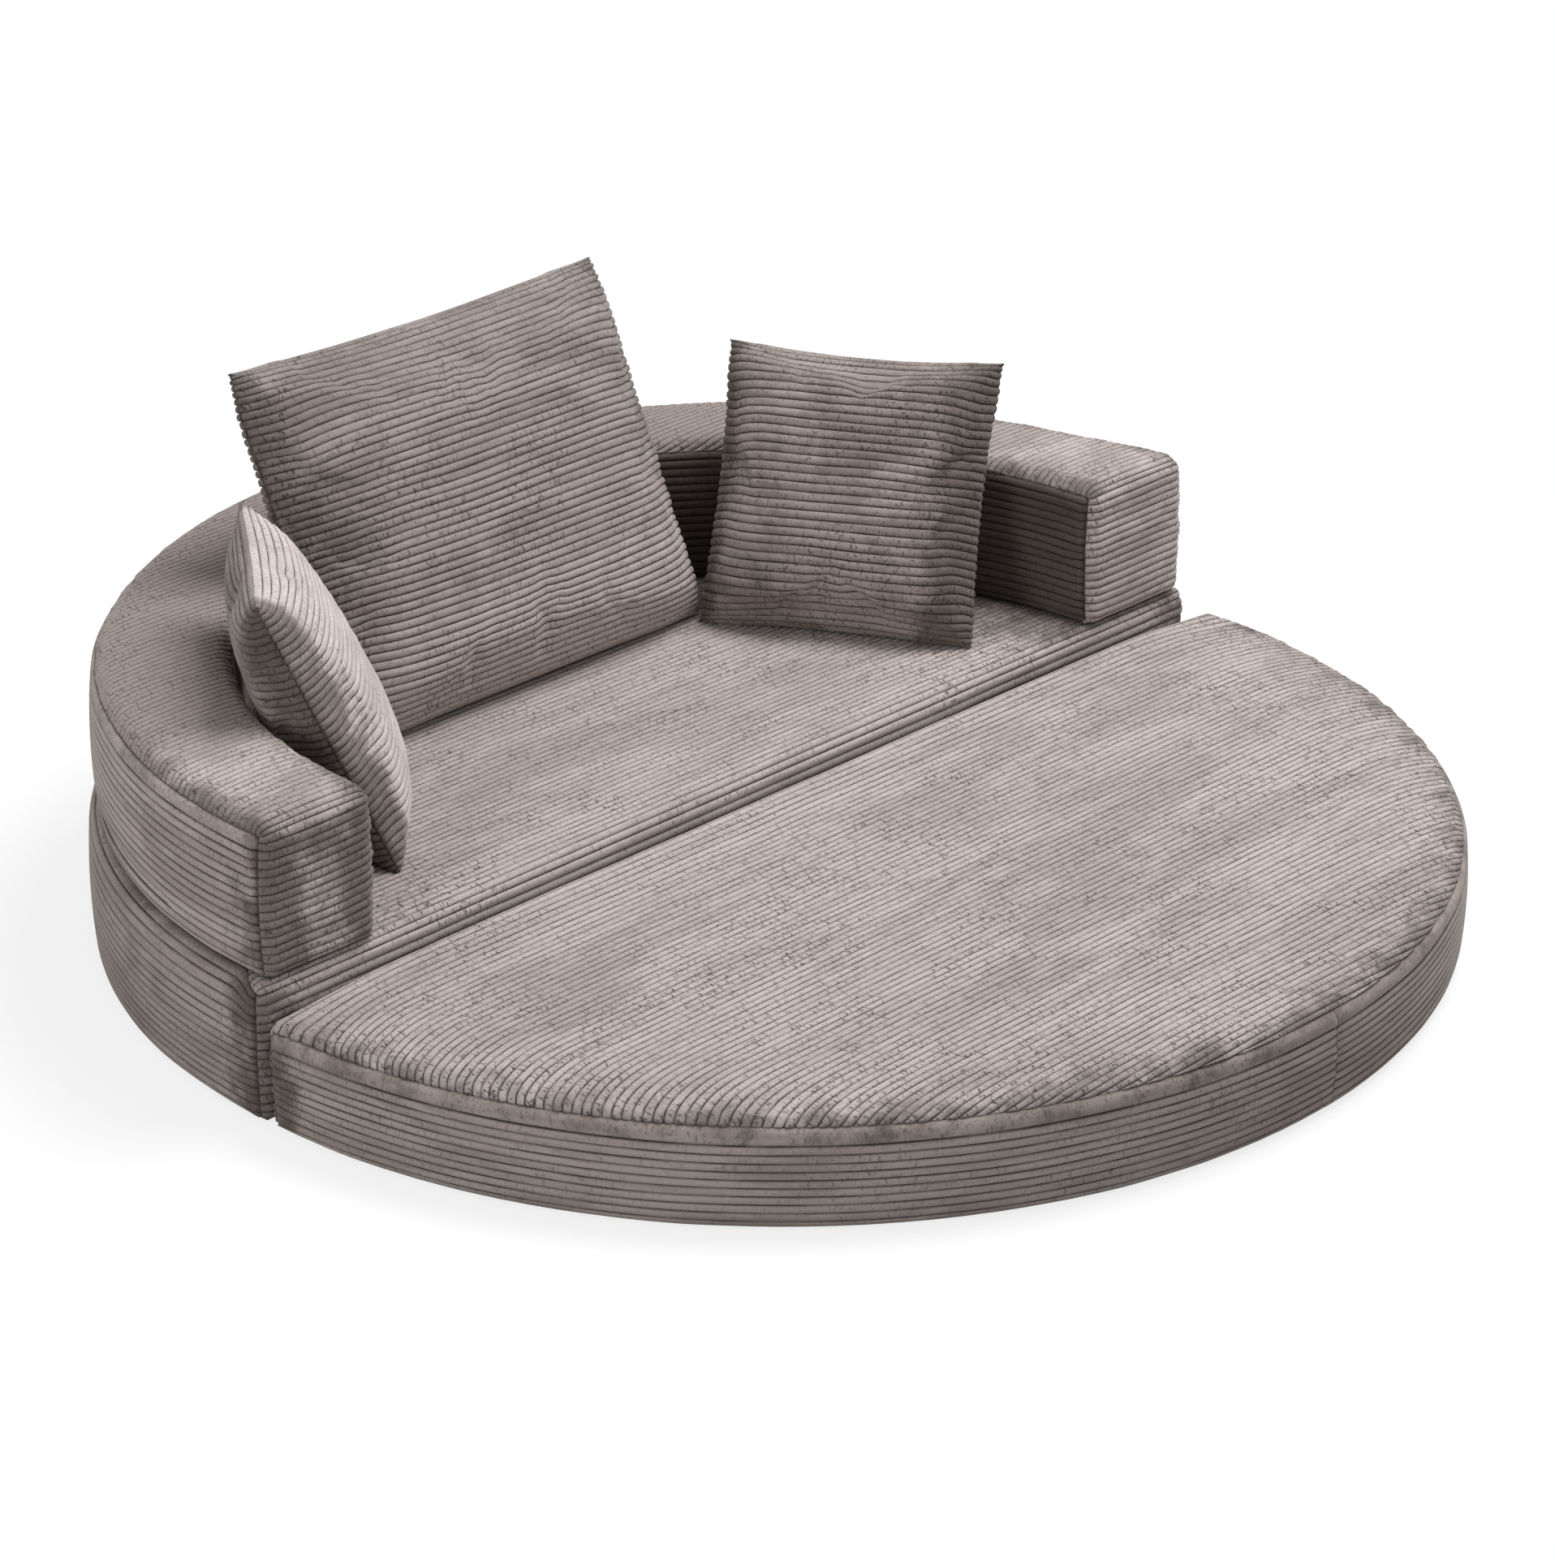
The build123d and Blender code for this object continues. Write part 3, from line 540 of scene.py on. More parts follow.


# light, dark and valley are colours; patch, streak, mark and dash are how fine the grain is along X, Y and Z
# the pieces take copies of the one corduroy that are lighter or darker by how light falls on each: painted
# light and painted shade, with some real difference from the nap
cloths = {
    "corduroyTop": {
        "light": (0.480, 0.424, 0.408), "dark": (0.305, 0.261, 0.247), "valley": (0.045, 0.034, 0.029),
        "patch": (2.2, 6.0, 4.0), "patchShare": 0.70, "streak": (3.0, 76.0, 76.0),
        "mark": (230.0, 90.0, 90.0), "dash": (18.0, 76.0, 76.0),
        "fleck": 0.66, "line": (0.32, 0.94), "edgeShade": 0.9},
    "corduroySide": {
        "light": (0.455, 0.392, 0.361), "dark": (0.275, 0.228, 0.204), "valley": (0.036, 0.026, 0.022),
        "patch": (3.0, 3.0, 12.0), "patchShare": 0.80, "streak": (4.0, 4.0, 76.0),
        "mark": (200.0, 200.0, 100.0), "dash": (9.0, 9.0, 76.0),
        "fleck": 0.36, "line": (0.25, 0.99), "edgeShade": 1.0},
    "corduroyArm": {
        "light": (0.545, 0.482, 0.463), "dark": (0.285, 0.24, 0.222), "valley": (0.047, 0.036, 0.031),
        "patch": (4.0, 6.0, 6.0), "patchShare": 0.75, "streak": (4.0, 76.0, 76.0),
        "mark": (230.0, 90.0, 90.0), "dash": (18.0, 76.0, 76.0),
        "fleck": 0.6, "line": (0.22, 0.94), "edgeShade": 0.9, "backShade": 1.0},
    "corduroyCushion": {
        "light": (0.325, 0.281, 0.264), "dark": (0.19, 0.158, 0.144), "valley": (0.034, 0.025, 0.021),
        "patch": (3.0, 3.0, 11.0), "patchShare": 0.85, "streak": (4.0, 60.0, 76.0),
        "mark": (230.0, 90.0, 100.0), "dash": (16.0, 76.0, 76.0),
        "fleck": 0.6, "line": (0.2, 0.92), "edgeShade": 0.5, "paintedFootLight": 1.0},
    # painted light: the left pillow's front panel is a lit copy of the cloth
    "corduroyLitPillow": {
        "light": (0.61, 0.545, 0.52), "dark": (0.385, 0.33, 0.307), "valley": (0.085, 0.066, 0.057),
        "patch": (5.0, 5.0, 7.0), "patchShare": 0.5, "streak": (5.0, 5.0, 76.0),
        "mark": (200.0, 200.0, 100.0), "dash": (16.0, 16.0, 76.0),
        "fleck": 0.45, "line": (0.25, 0.82), "edgeShade": 1.0},
    "corduroyRightPillow": {
        "light": (0.335, 0.288, 0.268), "dark": (0.18, 0.148, 0.134), "valley": (0.03, 0.022, 0.018),
        "patch": (6.0, 6.0, 6.0), "patchShare": 0.85, "streak": (5.0, 5.0, 76.0),
        "mark": (200.0, 200.0, 100.0), "dash": (16.0, 16.0, 76.0),
        "fleck": 0.6, "line": (0.2, 0.92), "edgeShade": 0.8},
}
# the same cloth, darker on the two lower bands, partly nap and partly painted shade, and darkest inside the
# backrest, where it is painted shade that is lighter by its ends
cloths["corduroyLow"] = {
    **cloths["corduroySide"], "light": (0.365, 0.314, 0.289), "dark": (0.22, 0.182, 0.163)}
cloths["corduroyShadedInner"] = {
    **cloths["corduroySide"], "light": (0.112, 0.088, 0.078), "dark": (0.06, 0.046, 0.04),
    "valley": (0.014, 0.010, 0.009), "fleck": 0.3, "line": (0.2, 0.95), "edgeShade": -0.6}


def corduroyMaterial(name):
    cloth = cloths[name]
    material, tree, shader = nodeTree(name)
    coordinates = tree.nodes.new("ShaderNodeTexCoord").outputs["Object"]
    # brushed patches of the pile, then single wales that catch the light differently
    patch = grain(tree, coordinates, cloth["patch"], 8.0, 0.7, 0.6)
    patch = spread(tree, patch, 0.42, 0.64, 0.0, cloth["patchShare"])
    colour = colourMix(tree, cloth["light"], cloth["dark"], patch)
    streak = spread(tree, grain(tree, coordinates, cloth["streak"], 2.0, 0.6), 0.42, 0.70, 0.0, 0.45)
    colour = colourMix(tree, colour, cloth["dark"], streak)
    # ragged patches by the seams where the pile lies the other way; the edge value also carries painted shade
    # on the seat, the left arm's end and the right pillow's right end, and where edgeShade is below 0 the
    # patches are painted light instead
    rubbedAndShaded = grain(tree, coordinates, (16.0,) * 3, 6.0, 0.65)
    edge = surfaceValue(tree, "edge")
    ragged = combined(tree, "ADD", rubbedAndShaded, combined(tree, "MULTIPLY", edge, 0.5))
    shade = spread(tree, ragged, 0.68, 1.06, 0.0, abs(cloth["edgeShade"]) * 0.8)
    colour = colourMix(tree, colour, cloth["valley"] if cloth["edgeShade"] > 0 else cloth["light"], shade)
    if "backShade" in cloth:  # the backrest's top is darker towards the back
        behind = raggedPlace(tree, coordinates, "Y", rubbedAndShaded, 0.35)
        behind = spread(tree, behind, 0.25, 0.70, 0.0, cloth["backShade"])
        colour = colourMix(tree, colour, cloth["dark"], behind)
    if "paintedFootLight" in cloth:  # the cushion's foot is painted lighter: painted light in place of light bounced up from the seat
        low = raggedPlace(tree, coordinates, "Z", rubbedAndShaded, 0.25)
        low = spread(tree, low, 0.42, 0.72, cloth["paintedFootLight"], 0.0)
        colour = colourMix(tree, colour, tuple(1.5 * value for value in cloth["light"]), low)
    # small marks where single tufts lie over, more of them by the seams
    where = grain(tree, coordinates, (8.0,) * 3, 4.0, 0.6)
    where = combined(tree, "ADD", where, combined(tree, "MULTIPLY", edge, 0.3))
    where = spread(tree, where, 0.36, 0.72, 0.35, 1.0)
    mark = spread(tree, grain(tree, coordinates, cloth["mark"], 3.0, 0.65), 0.52, 0.66)
    amount = combined(tree, "MULTIPLY", combined(tree, "MULTIPLY", where, mark), cloth["fleck"] * 1.5)
    colour = colourMix(tree, colour, cloth["valley"], amount)
    fine = spread(tree, grain(tree, coordinates, (620.0,) * 3, 2.0), 0.35, 0.7, 0.0, 0.25)
    colour = colourMix(tree, colour, cloth["dark"], fine)
    # the dark lines between the wales, stronger and weaker along their length: partly the darker ground
    # cloth, partly painted shade in the grooves
    fringe = combined(tree, "MULTIPLY", grain(tree, coordinates, (240.0,) * 3, 2.0), 0.16)
    line = spread(tree, combined(tree, "ADD", surfaceValue(tree, "crest"), fringe), *cloth["line"], 1.0, 0.0)
    dash = spread(tree, grain(tree, coordinates, cloth["dash"], 2.0, 0.6), 0.36, 0.62, 0.60, 1.0)
    colour = colourMix(tree, colour, cloth["valley"], combined(tree, "MULTIPLY", line, dash))
    tree.links.new(colour, shader.inputs["Base Color"])
    setInputs(shader, {"Roughness": 0.92, "Specular IOR Level": 0.2, "Sheen Weight": 0.2,
                       "Sheen Roughness": 0.45, "Sheen Tint": (0.9, 0.85, 0.82, 1)})
    addBump(tree, shader, grain(tree, coordinates, (380.0,) * 3, 3.0, 0.6), 0.45, 0.0014)
    return material


clothMaterials = {name: corduroyMaterial(name) for name in cloths}

# finishes of the nodes that are kept from the CAD model: foam, undersides and zips
plainFinishes = {
    "foam": {"light": (0.86, 0.82, 0.66), "dark": (0.74, 0.69, 0.53), "scale": 260.0, "depth": 0.0012,
             "roughness": 0.95, "endings": ("foam_core",)},
    "baseCloth": {"light": (0.10, 0.095, 0.095), "dark": (0.055, 0.05, 0.05), "scale": 420.0, "depth": 0.0006,
                  "roughness": 0.85, "endings": ("bottom_cloth", "underside_cloth")},
    # the zip tape is lighter than the cloth: painted light against the shade in the groove it lies in
    "zipTape": {"light": (0.56, 0.49, 0.46), "dark": (0.36, 0.305, 0.28), "scale": 900.0, "depth": 0.0004,
                "roughness": 0.8, "endings": ("zip_tape",)},
    "zipSlider": {"light": (0.20, 0.188, 0.18), "dark": (0.12, 0.11, 0.105), "scale": 90.0, "depth": 0.0001,
                  "roughness": 0.42, "endings": ("zip_slider",)},
}


def plainMaterial(name):
    values = plainFinishes[name]
    material, tree, shader = nodeTree(name)
    coordinates = tree.nodes.new("ShaderNodeTexCoord").outputs["Object"]
    pores = grain(tree, coordinates, (values["scale"],) * 3, 3.0, 0.6)
    clouds = grain(tree, coordinates, (9.0,) * 3, 3.0)
    colour = colourMix(tree, values["light"], values["dark"], spread(tree, pores, 0.38, 0.64))
    colour = colourMix(tree, colour, values["dark"], spread(tree, clouds, 0.4, 0.75, 0.0, 0.4))
    if name == "zipTape":  # ribs of the tape, finer than a wale
        rib = grain(tree, coordinates, (60.0, 60.0, 1500.0), 1.0)
        colour = colourMix(tree, colour, values["dark"], spread(tree, rib, 0.4, 0.6, 0.0, 0.7))
    tree.links.new(colour, shader.inputs["Base Color"])
    setInputs(shader, {"Roughness": values["roughness"]})
    if name == "zipSlider":
        setInputs(shader, {"Coat Weight": 0.3, "Coat Roughness": 0.25})
    addBump(tree, shader, pores, 0.5, values["depth"])
    return material


for finish, values in plainFinishes.items():
    material = plainMaterial(finish)
    for nodeName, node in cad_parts.items():
        if nodeName.endswith(values["endings"]):
            node.data.materials.clear()
            node.data.materials.append(material)
print("materials ready")

base, backrest, front = blocks["base"], blocks["backrest"], blocks["front"]

# join is the angle of a band's seam in degrees; zip is its height, half its length and the radius behind it;
# paintedFaceShade paints shade on an arm's end, and painted light there where it is below 0
panels = {
    "seat_top": {
        "maker": drumPanel, "block": base, "columns": 96, "values": seatFace,
        "cloth": "corduroyTop", "nodes": ("seat_top_panel", "base_wadding")},
    "front_top": {
        "maker": drumPanel, "block": front, "columns": 100, "values": frontFace,
        "cloth": "corduroyTop", "nodes": ("front_top_panel", "front_wadding")},
    "base_band": {
        "maker": bandPanel, "block": base, "columns": 240,
        "values": {"pitch": 0.0132, "pipe": 0.013, "pipeShare": 1.0, "inside": False, "endShade": 1.05},
        "cloth": "corduroyLow", "nodes": ("base_side_band",)},
    "front_band": {
        "maker": bandPanel, "block": front, "columns": 420,
        "values": {"pitch": 0.0132, "pipe": 0.0275, "pipeShare": 1.1, "inside": False, "endShade": 1.0,
                   "join": 92.3},
        "cloth": "corduroyLow", "nodes": ("front_side_band",)},
    "backrest_outer": {
        "maker": bandPanel, "block": backrest, "columns": 240,
        "values": {"pitch": 0.0146, "pipe": 0.0255, "pipeShare": 1.1, "inside": False, "endShade": 0.75,
                   "zip": (0.266, 1.36, 1.0275)},
        "cloth": "corduroySide", "nodes": ("backrest_outer_band",)},
    "backrest_inner": {
        "maker": bandPanel, "block": backrest, "columns": 200,
        "values": {"pitch": 0.0146, "pipe": 0.0146, "pipeShare": 1.0, "inside": True, "endShade": 0.8},
        "cloth": "corduroyShadedInner", "nodes": ("backrest_inner_band",)},
    "backrest_top_left": {
        "maker": archPanel, "block": backrest, "columns": 56,
        "values": {"side": -1, "paintedFaceShade": 0.62},
        "cloth": "corduroyArm", "nodes": ("backrest_top_panel", "backrest_wadding")},
    "backrest_top_right": {
        "maker": archPanel, "block": backrest, "columns": 56,
        "values": {"side": 1, "paintedFaceShade": -0.58},
        "cloth": "corduroyArm", "nodes": ("backrest_top_panel",)},
}


def outward(panel, point):
    # upwards for the top panels; away from the block's axis for the bands, or towards it on the inside
    block, values = panel["block"], panel["values"]
    if panel["maker"] is not bandPanel:
        return (0, 0, 1)
    axisY = block.place[1] + (-block.centre if block.turned else block.centre)
    sign = -1 if values["inside"] else 1
    return (sign * (point[0] - block.place[0]), sign * (point[1] - axisY), 0)


def dress(piece, facing, cloth, body, nodes):
    faceOutwards(piece, facing)
    thicken(piece)
    piece.data.materials.append(clothMaterials[cloth])
    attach(piece, body)
    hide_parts(*nodes)
    print("made", piece.name, len(piece.data.polygons), "faces")


for name, panel in panels.items():
    mesh, place, crest, edge = panel["maker"](name, panel["block"], panel["columns"], panel["values"])
    piece = addPiece(name, mesh, toRoom(panel["block"], place), crest, edge)
    body = "front_section" if panel["block"] is front else "rear_section"
    dress(piece, lambda point: outward(panel, point), panel["cloth"], body, panel["nodes"])

# foot is the middle of the cushion's lower edge; lean and yaw are in degrees
# endReach is how far darker patches reach in from each end; the right pillow's wide reach at its right end is
# painted shade
cushions = {
    "back_cushion": {
        "width": 0.810, "height": 0.634, "thick": 0.246, "lean": 23.5, "yaw": 0.0,
        "foot": (-0.0430, 0.5408, 0.2519), "columns": 150, "pitch": 0.0134, "pull": 0.012, "topSag": 0.034,
        "square": 2.8, "flatness": 0.50, "settle": 0.12, "rearPlump": 1.0, "seed": 31,
        "cloth": "corduroyCushion", "rearCloth": "corduroyCushion", "endReach": (0.085, 0.085)},
    "left_pillow": {
        "width": 0.448, "height": 0.492, "thick": 0.158, "lean": 24.0, "yaw": 52.0,
        "foot": (-0.5450, 0.3330, 0.2370), "columns": 110, "pitch": 0.0138, "pull": 0.030, "topSag": 0.035,
        "square": 2.4, "flatness": 0.60, "settle": 0.10, "rearPlump": 1.22, "seed": 32,
        # its front panel takes the lit copy of the cloth and its rear panel the darker right-pillow cloth:
        # painted light and painted shade
        "cloth": "corduroyLitPillow", "rearCloth": "corduroyRightPillow", "endReach": (0.11, 0.06)},
    "right_pillow": {
        "width": 0.475, "height": 0.486, "thick": 0.184, "lean": 26.5, "yaw": -61.0,
        "foot": (0.4500, 0.3120, 0.2471), "columns": 110, "pitch": 0.0150, "pull": 0.030, "topSag": 0.042,
        "square": 2.6, "flatness": 0.55, "settle": 0.06, "rearPlump": 1.0, "seed": 33,
        "cloth": "corduroyRightPillow", "rearCloth": "corduroyRightPillow", "endReach": (0.07, 0.20)},
}
sewing = {"cell": 0.011, "frames": 20, "pressure": 4.0, "spare": -0.018, "cap": 0.020, "cornerRound": 0.022,
          "tension": 12.0, "bending": 0.15, "mass": 0.25, "startShare": 0.93, "footSag": 0.3,
          "foldDepth": 0.0022, "endShade": 1.2, "standOff": 0.001, "settleIn": 0.004}


def bagForm(sizes, sx, sy, side, share=1.0):
    # one panel's filled shape for sx, sy from -1 to 1: crowned, with sides that pull in between the corners
    width, height, thick = sizes["width"], sizes["height"], sizes["thick"] * share
    power, flatness = sizes["square"], sizes["flatness"]
    crown = np.maximum((1 - np.abs(sx) ** power) * (1 - np.abs(sy) ** power), 0) ** flatness
    x = sx * width / 2 * (1 - sizes["pull"] * (1 - sy**2))
    topSag = np.where(sy > 0, sizes["topSag"], sizes["topSag"] * sewing["footSag"])
    y = sy * height / 2 * (1 - topSag * (1 - sx**2))
    corner = np.clip(np.abs(sx) - 0.75, 0, 1) * np.clip(np.abs(sy) - 0.75, 0, 1) * 16  # 1 at the corner's tip
    drawnIn = 1 - sewing["cornerRound"] * corner
    z = side * crown * thick / 2 * (1 - sizes["settle"] * sy)
    return x * drawnIn, y * drawnIn, z


def sewnBag(name, sizes):
    # two panels sewn round their edges; every vertex keeps its place in the panel
    columns, rows = round(sizes["width"] / sewing["cell"]), round(sizes["height"] / sewing["cell"])
    bm = bmesh.new()
    keys = [bm.verts.layers.int.new(key) for key in ("column", "row", "half")]
    for side in (1, -1):
        verts = bmesh.ops.create_grid(bm, x_segments=columns, y_segments=rows, size=1.0)["verts"]
        for vert in verts:
            sx, sy = vert.co.x, vert.co.y
            half = 0 if max(abs(sx), abs(sy)) > 1 - small else side  # 0 on the seam
            for key, value in zip(keys, (round((sx + 1) / 2 * columns), round((sy + 1) / 2 * rows), half)):
                vert[key] = value
            vert.co = [float(value) for value in bagForm(sizes, sx, sy, half, sewing["startShare"])]
        if side < 0:
            bmesh.ops.reverse_faces(bm, faces=list({face for vert in verts for face in vert.link_faces}))
    bmesh.ops.remove_doubles(bm, verts=bm.verts[:], dist=1e-5)
    mesh = bpy.data.meshes.new(name)
    bm.to_mesh(mesh)
    bm.free()
    return mesh, columns, rows


def filledBag(name, sizes):
    # lets the bag swell and crease with the cloth simulation; gives both panels as grids of points
    mesh, columns, rows = sewnBag(name, sizes)
    bag = addObject(name, mesh)
    cloth = bag.modifiers.new("fill", "CLOTH")
    values = cloth.settings
    values.quality = 6
    values.mass = sewing["mass"]
    values.tension_stiffness = values.compression_stiffness = sewing["tension"]
    values.shear_stiffness = sewing["tension"] / 3
    values.bending_stiffness = sewing["bending"]
    values.shrink_min = sewing["spare"]
    values.use_pressure = True
    values.uniform_pressure_force = sewing["pressure"]
    values.effector_weights.gravity = 0
    cloth.point_cache.frame_start = 1
    cloth.point_cache.frame_end = sewing["frames"]
    for step in range(1, sewing["frames"] + 1):
        scene.frame_set(step)
    result = bpy.data.meshes.new_from_object(bag.evaluated_get(bpy.context.evaluated_depsgraph_get()))
    still = vertexValues(mesh, "co")
    moved = vertexValues(result, "co") - still
    far = np.maximum(np.linalg.norm(moved, axis=1), tiny)
    points = still + moved * np.minimum(1, sewing["cap"] / far)[:, None]
    places = {}
    for key in ("column", "row", "half"):
        places[key] = np.zeros(len(result.vertices), np.int32)
        result.attributes[key].data.foreach_get("value", places[key])
    halves = {}
    for side in (1, -1):
        grid = np.zeros((rows + 1, columns + 1, 3))
        mine = (places["half"] == side) | (places["half"] == 0)
        grid[places["row"][mine], places["column"][mine]] = points[mine]
        halves[side] = grid
    scene.frame_set(1)
    bpy.data.objects.remove(bag)
    bpy.data.meshes.remove(result)
    bpy.data.meshes.remove(mesh)
    print("filled", name, "largest move", round(float(far.max()), 4))
    return halves


def resample(grid, atRow, atColumn):
    # smooth values of a grid of points at fractional rows and columns, from the four nearest each way
    starts, weights = [], []
    for at, count in zip((atRow, atColumn), grid.shape):
        start = np.minimum(np.floor(at).astype(int), count - 2)
        t = at - start
        starts.append(start)
        weights.append((-0.5 * t + t**2 - 0.5 * t**3,
                        1 - 2.5 * t**2 + 1.5 * t**3,
                        0.5 * t + 2 * t**2 - 1.5 * t**3,
                        -0.5 * t**2 + 0.5 * t**3))
    padded = np.pad(grid, ((1, 1), (1, 1), (0, 0)), mode="reflect", reflect_type="odd")
    total = np.zeros((len(atRow), 3))
    for i in range(4):
        for j in range(4):
            share = weights[0][i] * weights[1][j]
            total += padded[starts[0] + i, starts[1] + j] * share[:, None]
    return total


def fitBag(halves, sizes):
    # brings the filled bag to the cushion's own width, height and thickness, with its foot at y = 0
    left, right = halves[1][:, :, 0].min(), halves[1][:, :, 0].max()
    low, high = halves[1][0, :, 1].min(), halves[1][:, :, 1].max()
    deep = (halves[1][:, :, 2].max() - halves[-1][:, :, 2].min()) / 2
    for grid in halves.values():
        grid[:, :, 0] = (grid[:, :, 0] - (left + right) / 2) * sizes["width"] / (right - left)
        grid[:, :, 1] = (grid[:, :, 1] - low) * sizes["height"] / (high - low)
        grid[:, :, 2] *= sizes["thick"] / 2 / deep
    halves[-1][:, :, 2] *= sizes["rearPlump"]
    return halves


def cushionAxes(sizes):
    yaw, lean = math.radians(sizes["yaw"]), math.radians(sizes["lean"])
    along = np.array([math.cos(yaw), math.sin(yaw), 0])
    facing = np.array([math.sin(yaw), -math.cos(yaw), 0])
    upright = np.array([0, 0, math.cos(lean)]) - facing * math.sin(lean)
    return along, upright, np.cross(along, upright)


def cushionPanel(name, sizes, grid, side):
    # fine panel that follows the coarse grid, with its wales across the cushion
    width, height, seed = sizes["width"], sizes["height"], sizes["seed"]
    clothLength = height * 1.09  # longer than the cushion, over its crown
    places, rises = waleRows((0, clothLength, sizes["pitch"], 1.0))
    mesh, column, row = gridMesh(name, sizes["columns"], len(places) - 1)
    across, rise = places[row] / places[-1], rises[row]
    t = column / sizes["columns"] * 2 - 1
    along = (0.6 * t + 0.4 * np.sin(t * math.pi / 2) + 1) / 2  # closer columns by the sides

    def panelNoise(fineAlong, fineAcross, ownSeed):
        return softNoise(np.stack([along * fineAlong, across * fineAcross, across * 0], 1), 1, ownSeed)

    wander = 0.004 * panelNoise(5, 7, seed + side)
    # rows keep an even distance along the cloth, also where it curves down to the seams
    steps = np.linalg.norm(np.diff(grid, axis=0), axis=2).mean(axis=1)
    reached = np.concatenate([[0.0], np.cumsum(steps)]) / steps.sum()
    atRow = np.interp(across + wander * np.sin(across * math.pi), reached, np.arange(len(reached)))
    place = resample(grid, atRow, along * (grid.shape[1] - 1))
    mesh.vertices.foreach_set("co", place.ravel())
    mesh.update()
    normals = vertexValues(mesh, "normal")
    if np.sum(normals[:, 2]) * side < 0:
        normals = -normals
    fromEnd = (0.5 - np.abs(along - 0.5)) * width
    fromSeam = np.minimum(fromEnd, (0.5 - np.abs(across - 0.5)) * height)
    tips = roundedEnd(fromEnd, corduroy["tipLength"])
    bold = 1 + 0.45 * (1 - smooth(0.004, 0.05, fromEnd))
    uneven = 1 + 0.25 * panelNoise(7, 61, seed + 5 * side)
    relief = corduroy["height"] * bold * uneven * rise * tips - corduroy["sink"]
    # shallow folds that run in from the seams
    fold = panelNoise(3.5, 17, seed + 9) * (1 - smooth(0.02, 0.16, fromSeam))
    relief = relief + sewing["foldDepth"] * fold * smooth(0.0, 0.02, fromSeam)
    crest = rise * roundedEnd(fromEnd, corduroy["tipShadow"])
    edge = 0.4 * (1 - smooth(0.0, 0.05, fromSeam))
    # darker patches reach in from each end by endReach; at the right pillow's right end they are painted
    # shade
    for reach, distance in zip(sizes["endReach"], (along, 1 - along)):
        edge = np.maximum(edge, sewing["endShade"] * (1 - smooth(0.0, reach, distance * width)))
    return mesh, place + normals * relief[:, None], crest, edge


def placeCushion(points, sizes):
    along, upright, out = cushionAxes(sizes)
    return np.array(sizes["foot"]) + points[:, :1] * along + points[:, 1:2] * upright + points[:, 2:] * out


def seatHeight(points):
    r = np.hypot(points[:, 0] - base.place[0], points[:, 1] - base.place[1] - base.centre)
    return base.top + base.crown * np.clip(1 - (r / base.radius) ** 2, 0, 1) + sewing["standOff"]


for name, sizes in cushions.items():
    facing = cushionAxes(sizes)[2]
    bag = fitBag(filledBag(name, sizes), sizes)
    made = {}
    for side, label in ((1, "front"), (-1, "rear")):
        mesh, place, crest, edge = cushionPanel(f"{name}_{label}", sizes, bag[side], side)
        made[side] = (label, mesh, placeCushion(place, sizes), crest, edge)
    # both panels sink until the cushion rests in the seat, and are pressed flat there
    clearances = [(points[:, 2] - seatHeight(points)).min() for _, _, points, _, _ in made.values()]
    sink = min(clearances) + sewing["settleIn"]
    for side, (label, mesh, points, crest, edge) in made.items():
        points[:, 2] = np.maximum(points[:, 2] - sink, seatHeight(points))
        piece = addPiece(f"{name}_{label}", mesh, points, crest, edge)
        cloth = sizes["cloth" if side == 1 else "rearCloth"]
        nodes = [f"{name}_{label}_panel", f"{name}_fill"] if side == 1 else [f"{name}_{label}_panel"]
        dress(piece, lambda p, facing=facing, side=side: tuple(facing * side), cloth, name, nodes)
    print("lowered", name, "by", round(float(sink), 4))

view = {"target": (0.0388, 0.0514, 0.1728), "back": (-0.65809, -0.62728, 0.41645), "distance": 8.2146,
        "lens": 117.53, "sensor": 36, "farthest": 100}
camera = bpy.data.cameras.new("camera")
cameraObject = addObject("camera", camera)
camera.sensor_width = view["sensor"]
camera.lens = view["lens"]
camera.clip_end = view["farthest"]
back = Vector(view["back"])
cameraObject.location = Vector(view["target"]) + back * view["distance"]
cameraObject.rotation_mode = "QUATERNION"
cameraObject.rotation_quaternion = (-back).to_track_quat("-Z", "Y")
scene.camera = cameraObject

studio = {
    "ambient": 0.50, "floorSize": 30.0, "floorLevel": -0.0005, "floorBounce": 0.42,
    "whiteShare": 0.78, "fadeFrom": 1.5, "fadeTo": 2.6, "lampAim": (0, 0, 0.2),
    "topLamp": {"place": (1.9, -0.6, 5.2), "size": 3.2, "energy": 285},
    "leftLamp": {"place": (-5.8, -0.9, 1.5), "size": 2.5, "energy": 92},
}

bm = bmesh.new()
bmesh.ops.create_grid(bm, x_segments=2, y_segments=2, size=studio["floorSize"])
floorMesh = bpy.data.meshes.new("floor")
bm.to_mesh(floorMesh)
bm.free()
floor = addObject("floor", floorMesh)
floor.location = (0, 0, studio["floorLevel"])


def backdropRay(tree):
    # rays from the camera, also by way of metal or glass
    path = tree.nodes.new("ShaderNodeLightPath")
    direct = combined(tree, "MAXIMUM", path.outputs["Is Camera Ray"], path.outputs["Is Glossy Ray"])
    return combined(tree, "MAXIMUM", direct, path.outputs["Is Transmission Ray"])


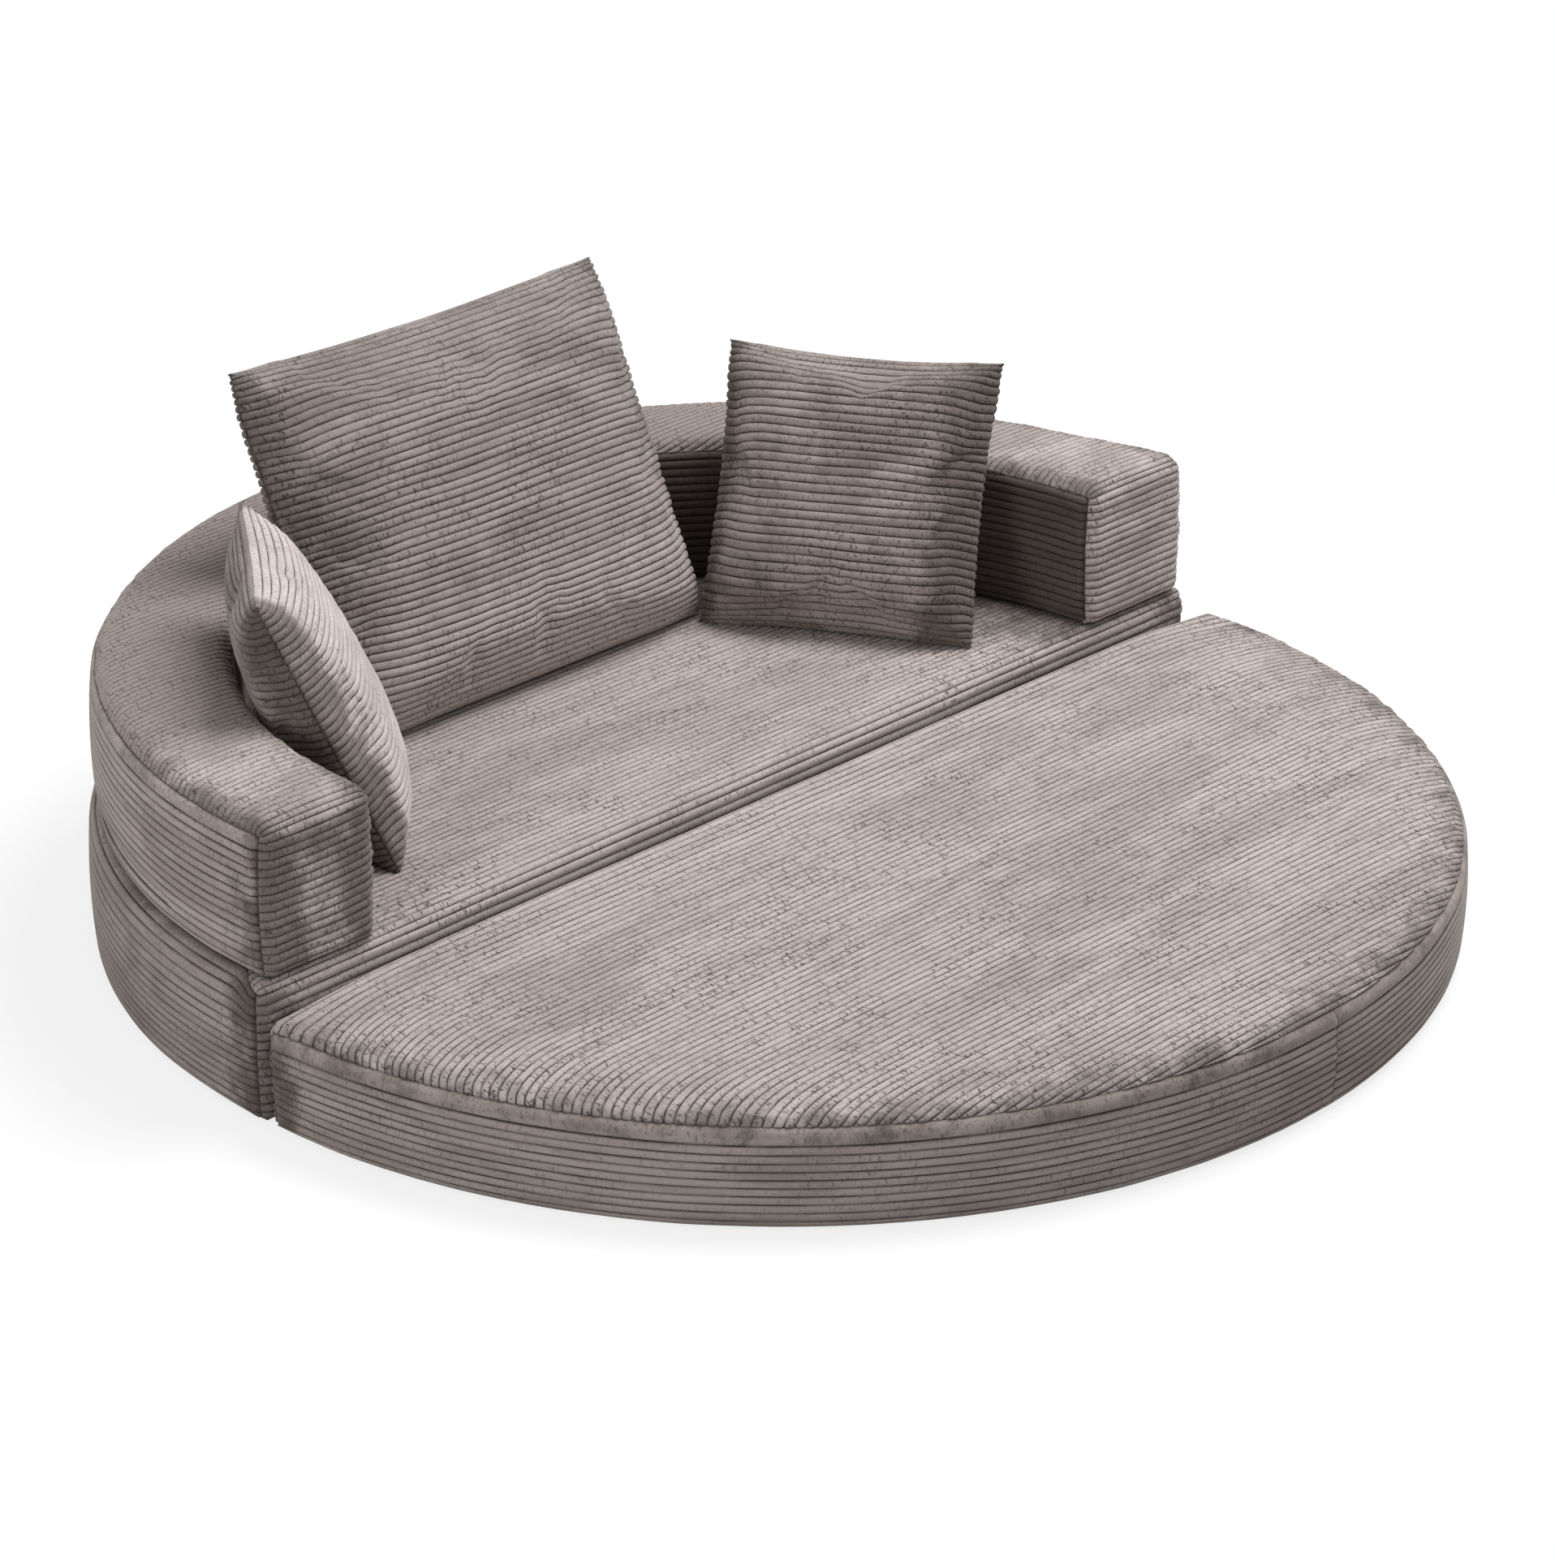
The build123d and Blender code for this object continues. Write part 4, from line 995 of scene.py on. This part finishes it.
# such rays see a white floor with the object's shadow; the others see a duller one
floorMaterial, tree, shader = nodeTree("paleFloor")
dull = (studio["floorBounce"],) * 3 + (1,)
white = (1, 1, 1, 1)
setInputs(shader, {"Base Color": dull, "Roughness": 1.0, "Specular IOR Level": 0.0})
lit = tree.nodes.new("ShaderNodeBsdfDiffuse")
setInputs(lit, {"Color": white})
glow = tree.nodes.new("ShaderNodeEmission")
distance = tree.nodes.new("ShaderNodeVectorMath")
distance.operation = "LENGTH"
tree.links.new(tree.nodes.new("ShaderNodeTexCoord").outputs["Object"], distance.inputs[0])
away = distance.outputs["Value"]
fade = spread(tree, away, studio["fadeFrom"], studio["fadeTo"], studio["whiteShare"], 1.0)
seen = tree.nodes.new("ShaderNodeMixShader")
choose = tree.nodes.new("ShaderNodeMixShader")
for mix, parts in ((seen, (fade, lit.outputs["BSDF"], glow.outputs["Emission"])),
                   (choose, (backdropRay(tree), shader.outputs["BSDF"], seen.outputs["Shader"]))):
    for socket, part in zip(mix.inputs, parts):
        tree.links.new(part, socket)
for node in tree.nodes:
    if node.type == "OUTPUT_MATERIAL":
        tree.links.new(choose.outputs["Shader"], node.inputs["Surface"])
floorMesh.materials.append(floorMaterial)

world = bpy.data.worlds.new("studio")
world.use_nodes = True
scene.world = world
tree = world.node_tree
tree.nodes.clear()
worldOutput = tree.nodes.new("ShaderNodeOutputWorld")
pick = tree.nodes.new("ShaderNodeMixShader")
tree.links.new(backdropRay(tree), pick.inputs["Fac"])
for socket, strength in ((1, studio["ambient"]), (2, 1.0)):
    sky = tree.nodes.new("ShaderNodeBackground")
    setInputs(sky, {"Color": white, "Strength": strength})
    tree.links.new(sky.outputs["Background"], pick.inputs[socket])
tree.links.new(pick.outputs["Shader"], worldOutput.inputs["Surface"])

for name in ("topLamp", "leftLamp"):
    data = bpy.data.lights.new(name, "AREA")
    data.shape = "DISK"
    data.size = studio[name]["size"]
    data.energy = studio[name]["energy"]
    lamp = addObject(name, data)
    lamp.location = studio[name]["place"]
    lamp.rotation_mode = "QUATERNION"
    lamp.rotation_quaternion = (Vector(studio["lampAim"]) - lamp.location).to_track_quat("-Z", "Y")
print("camera, floor and lamps set")

scene.view_settings.view_transform = "Standard"

print("finishing")
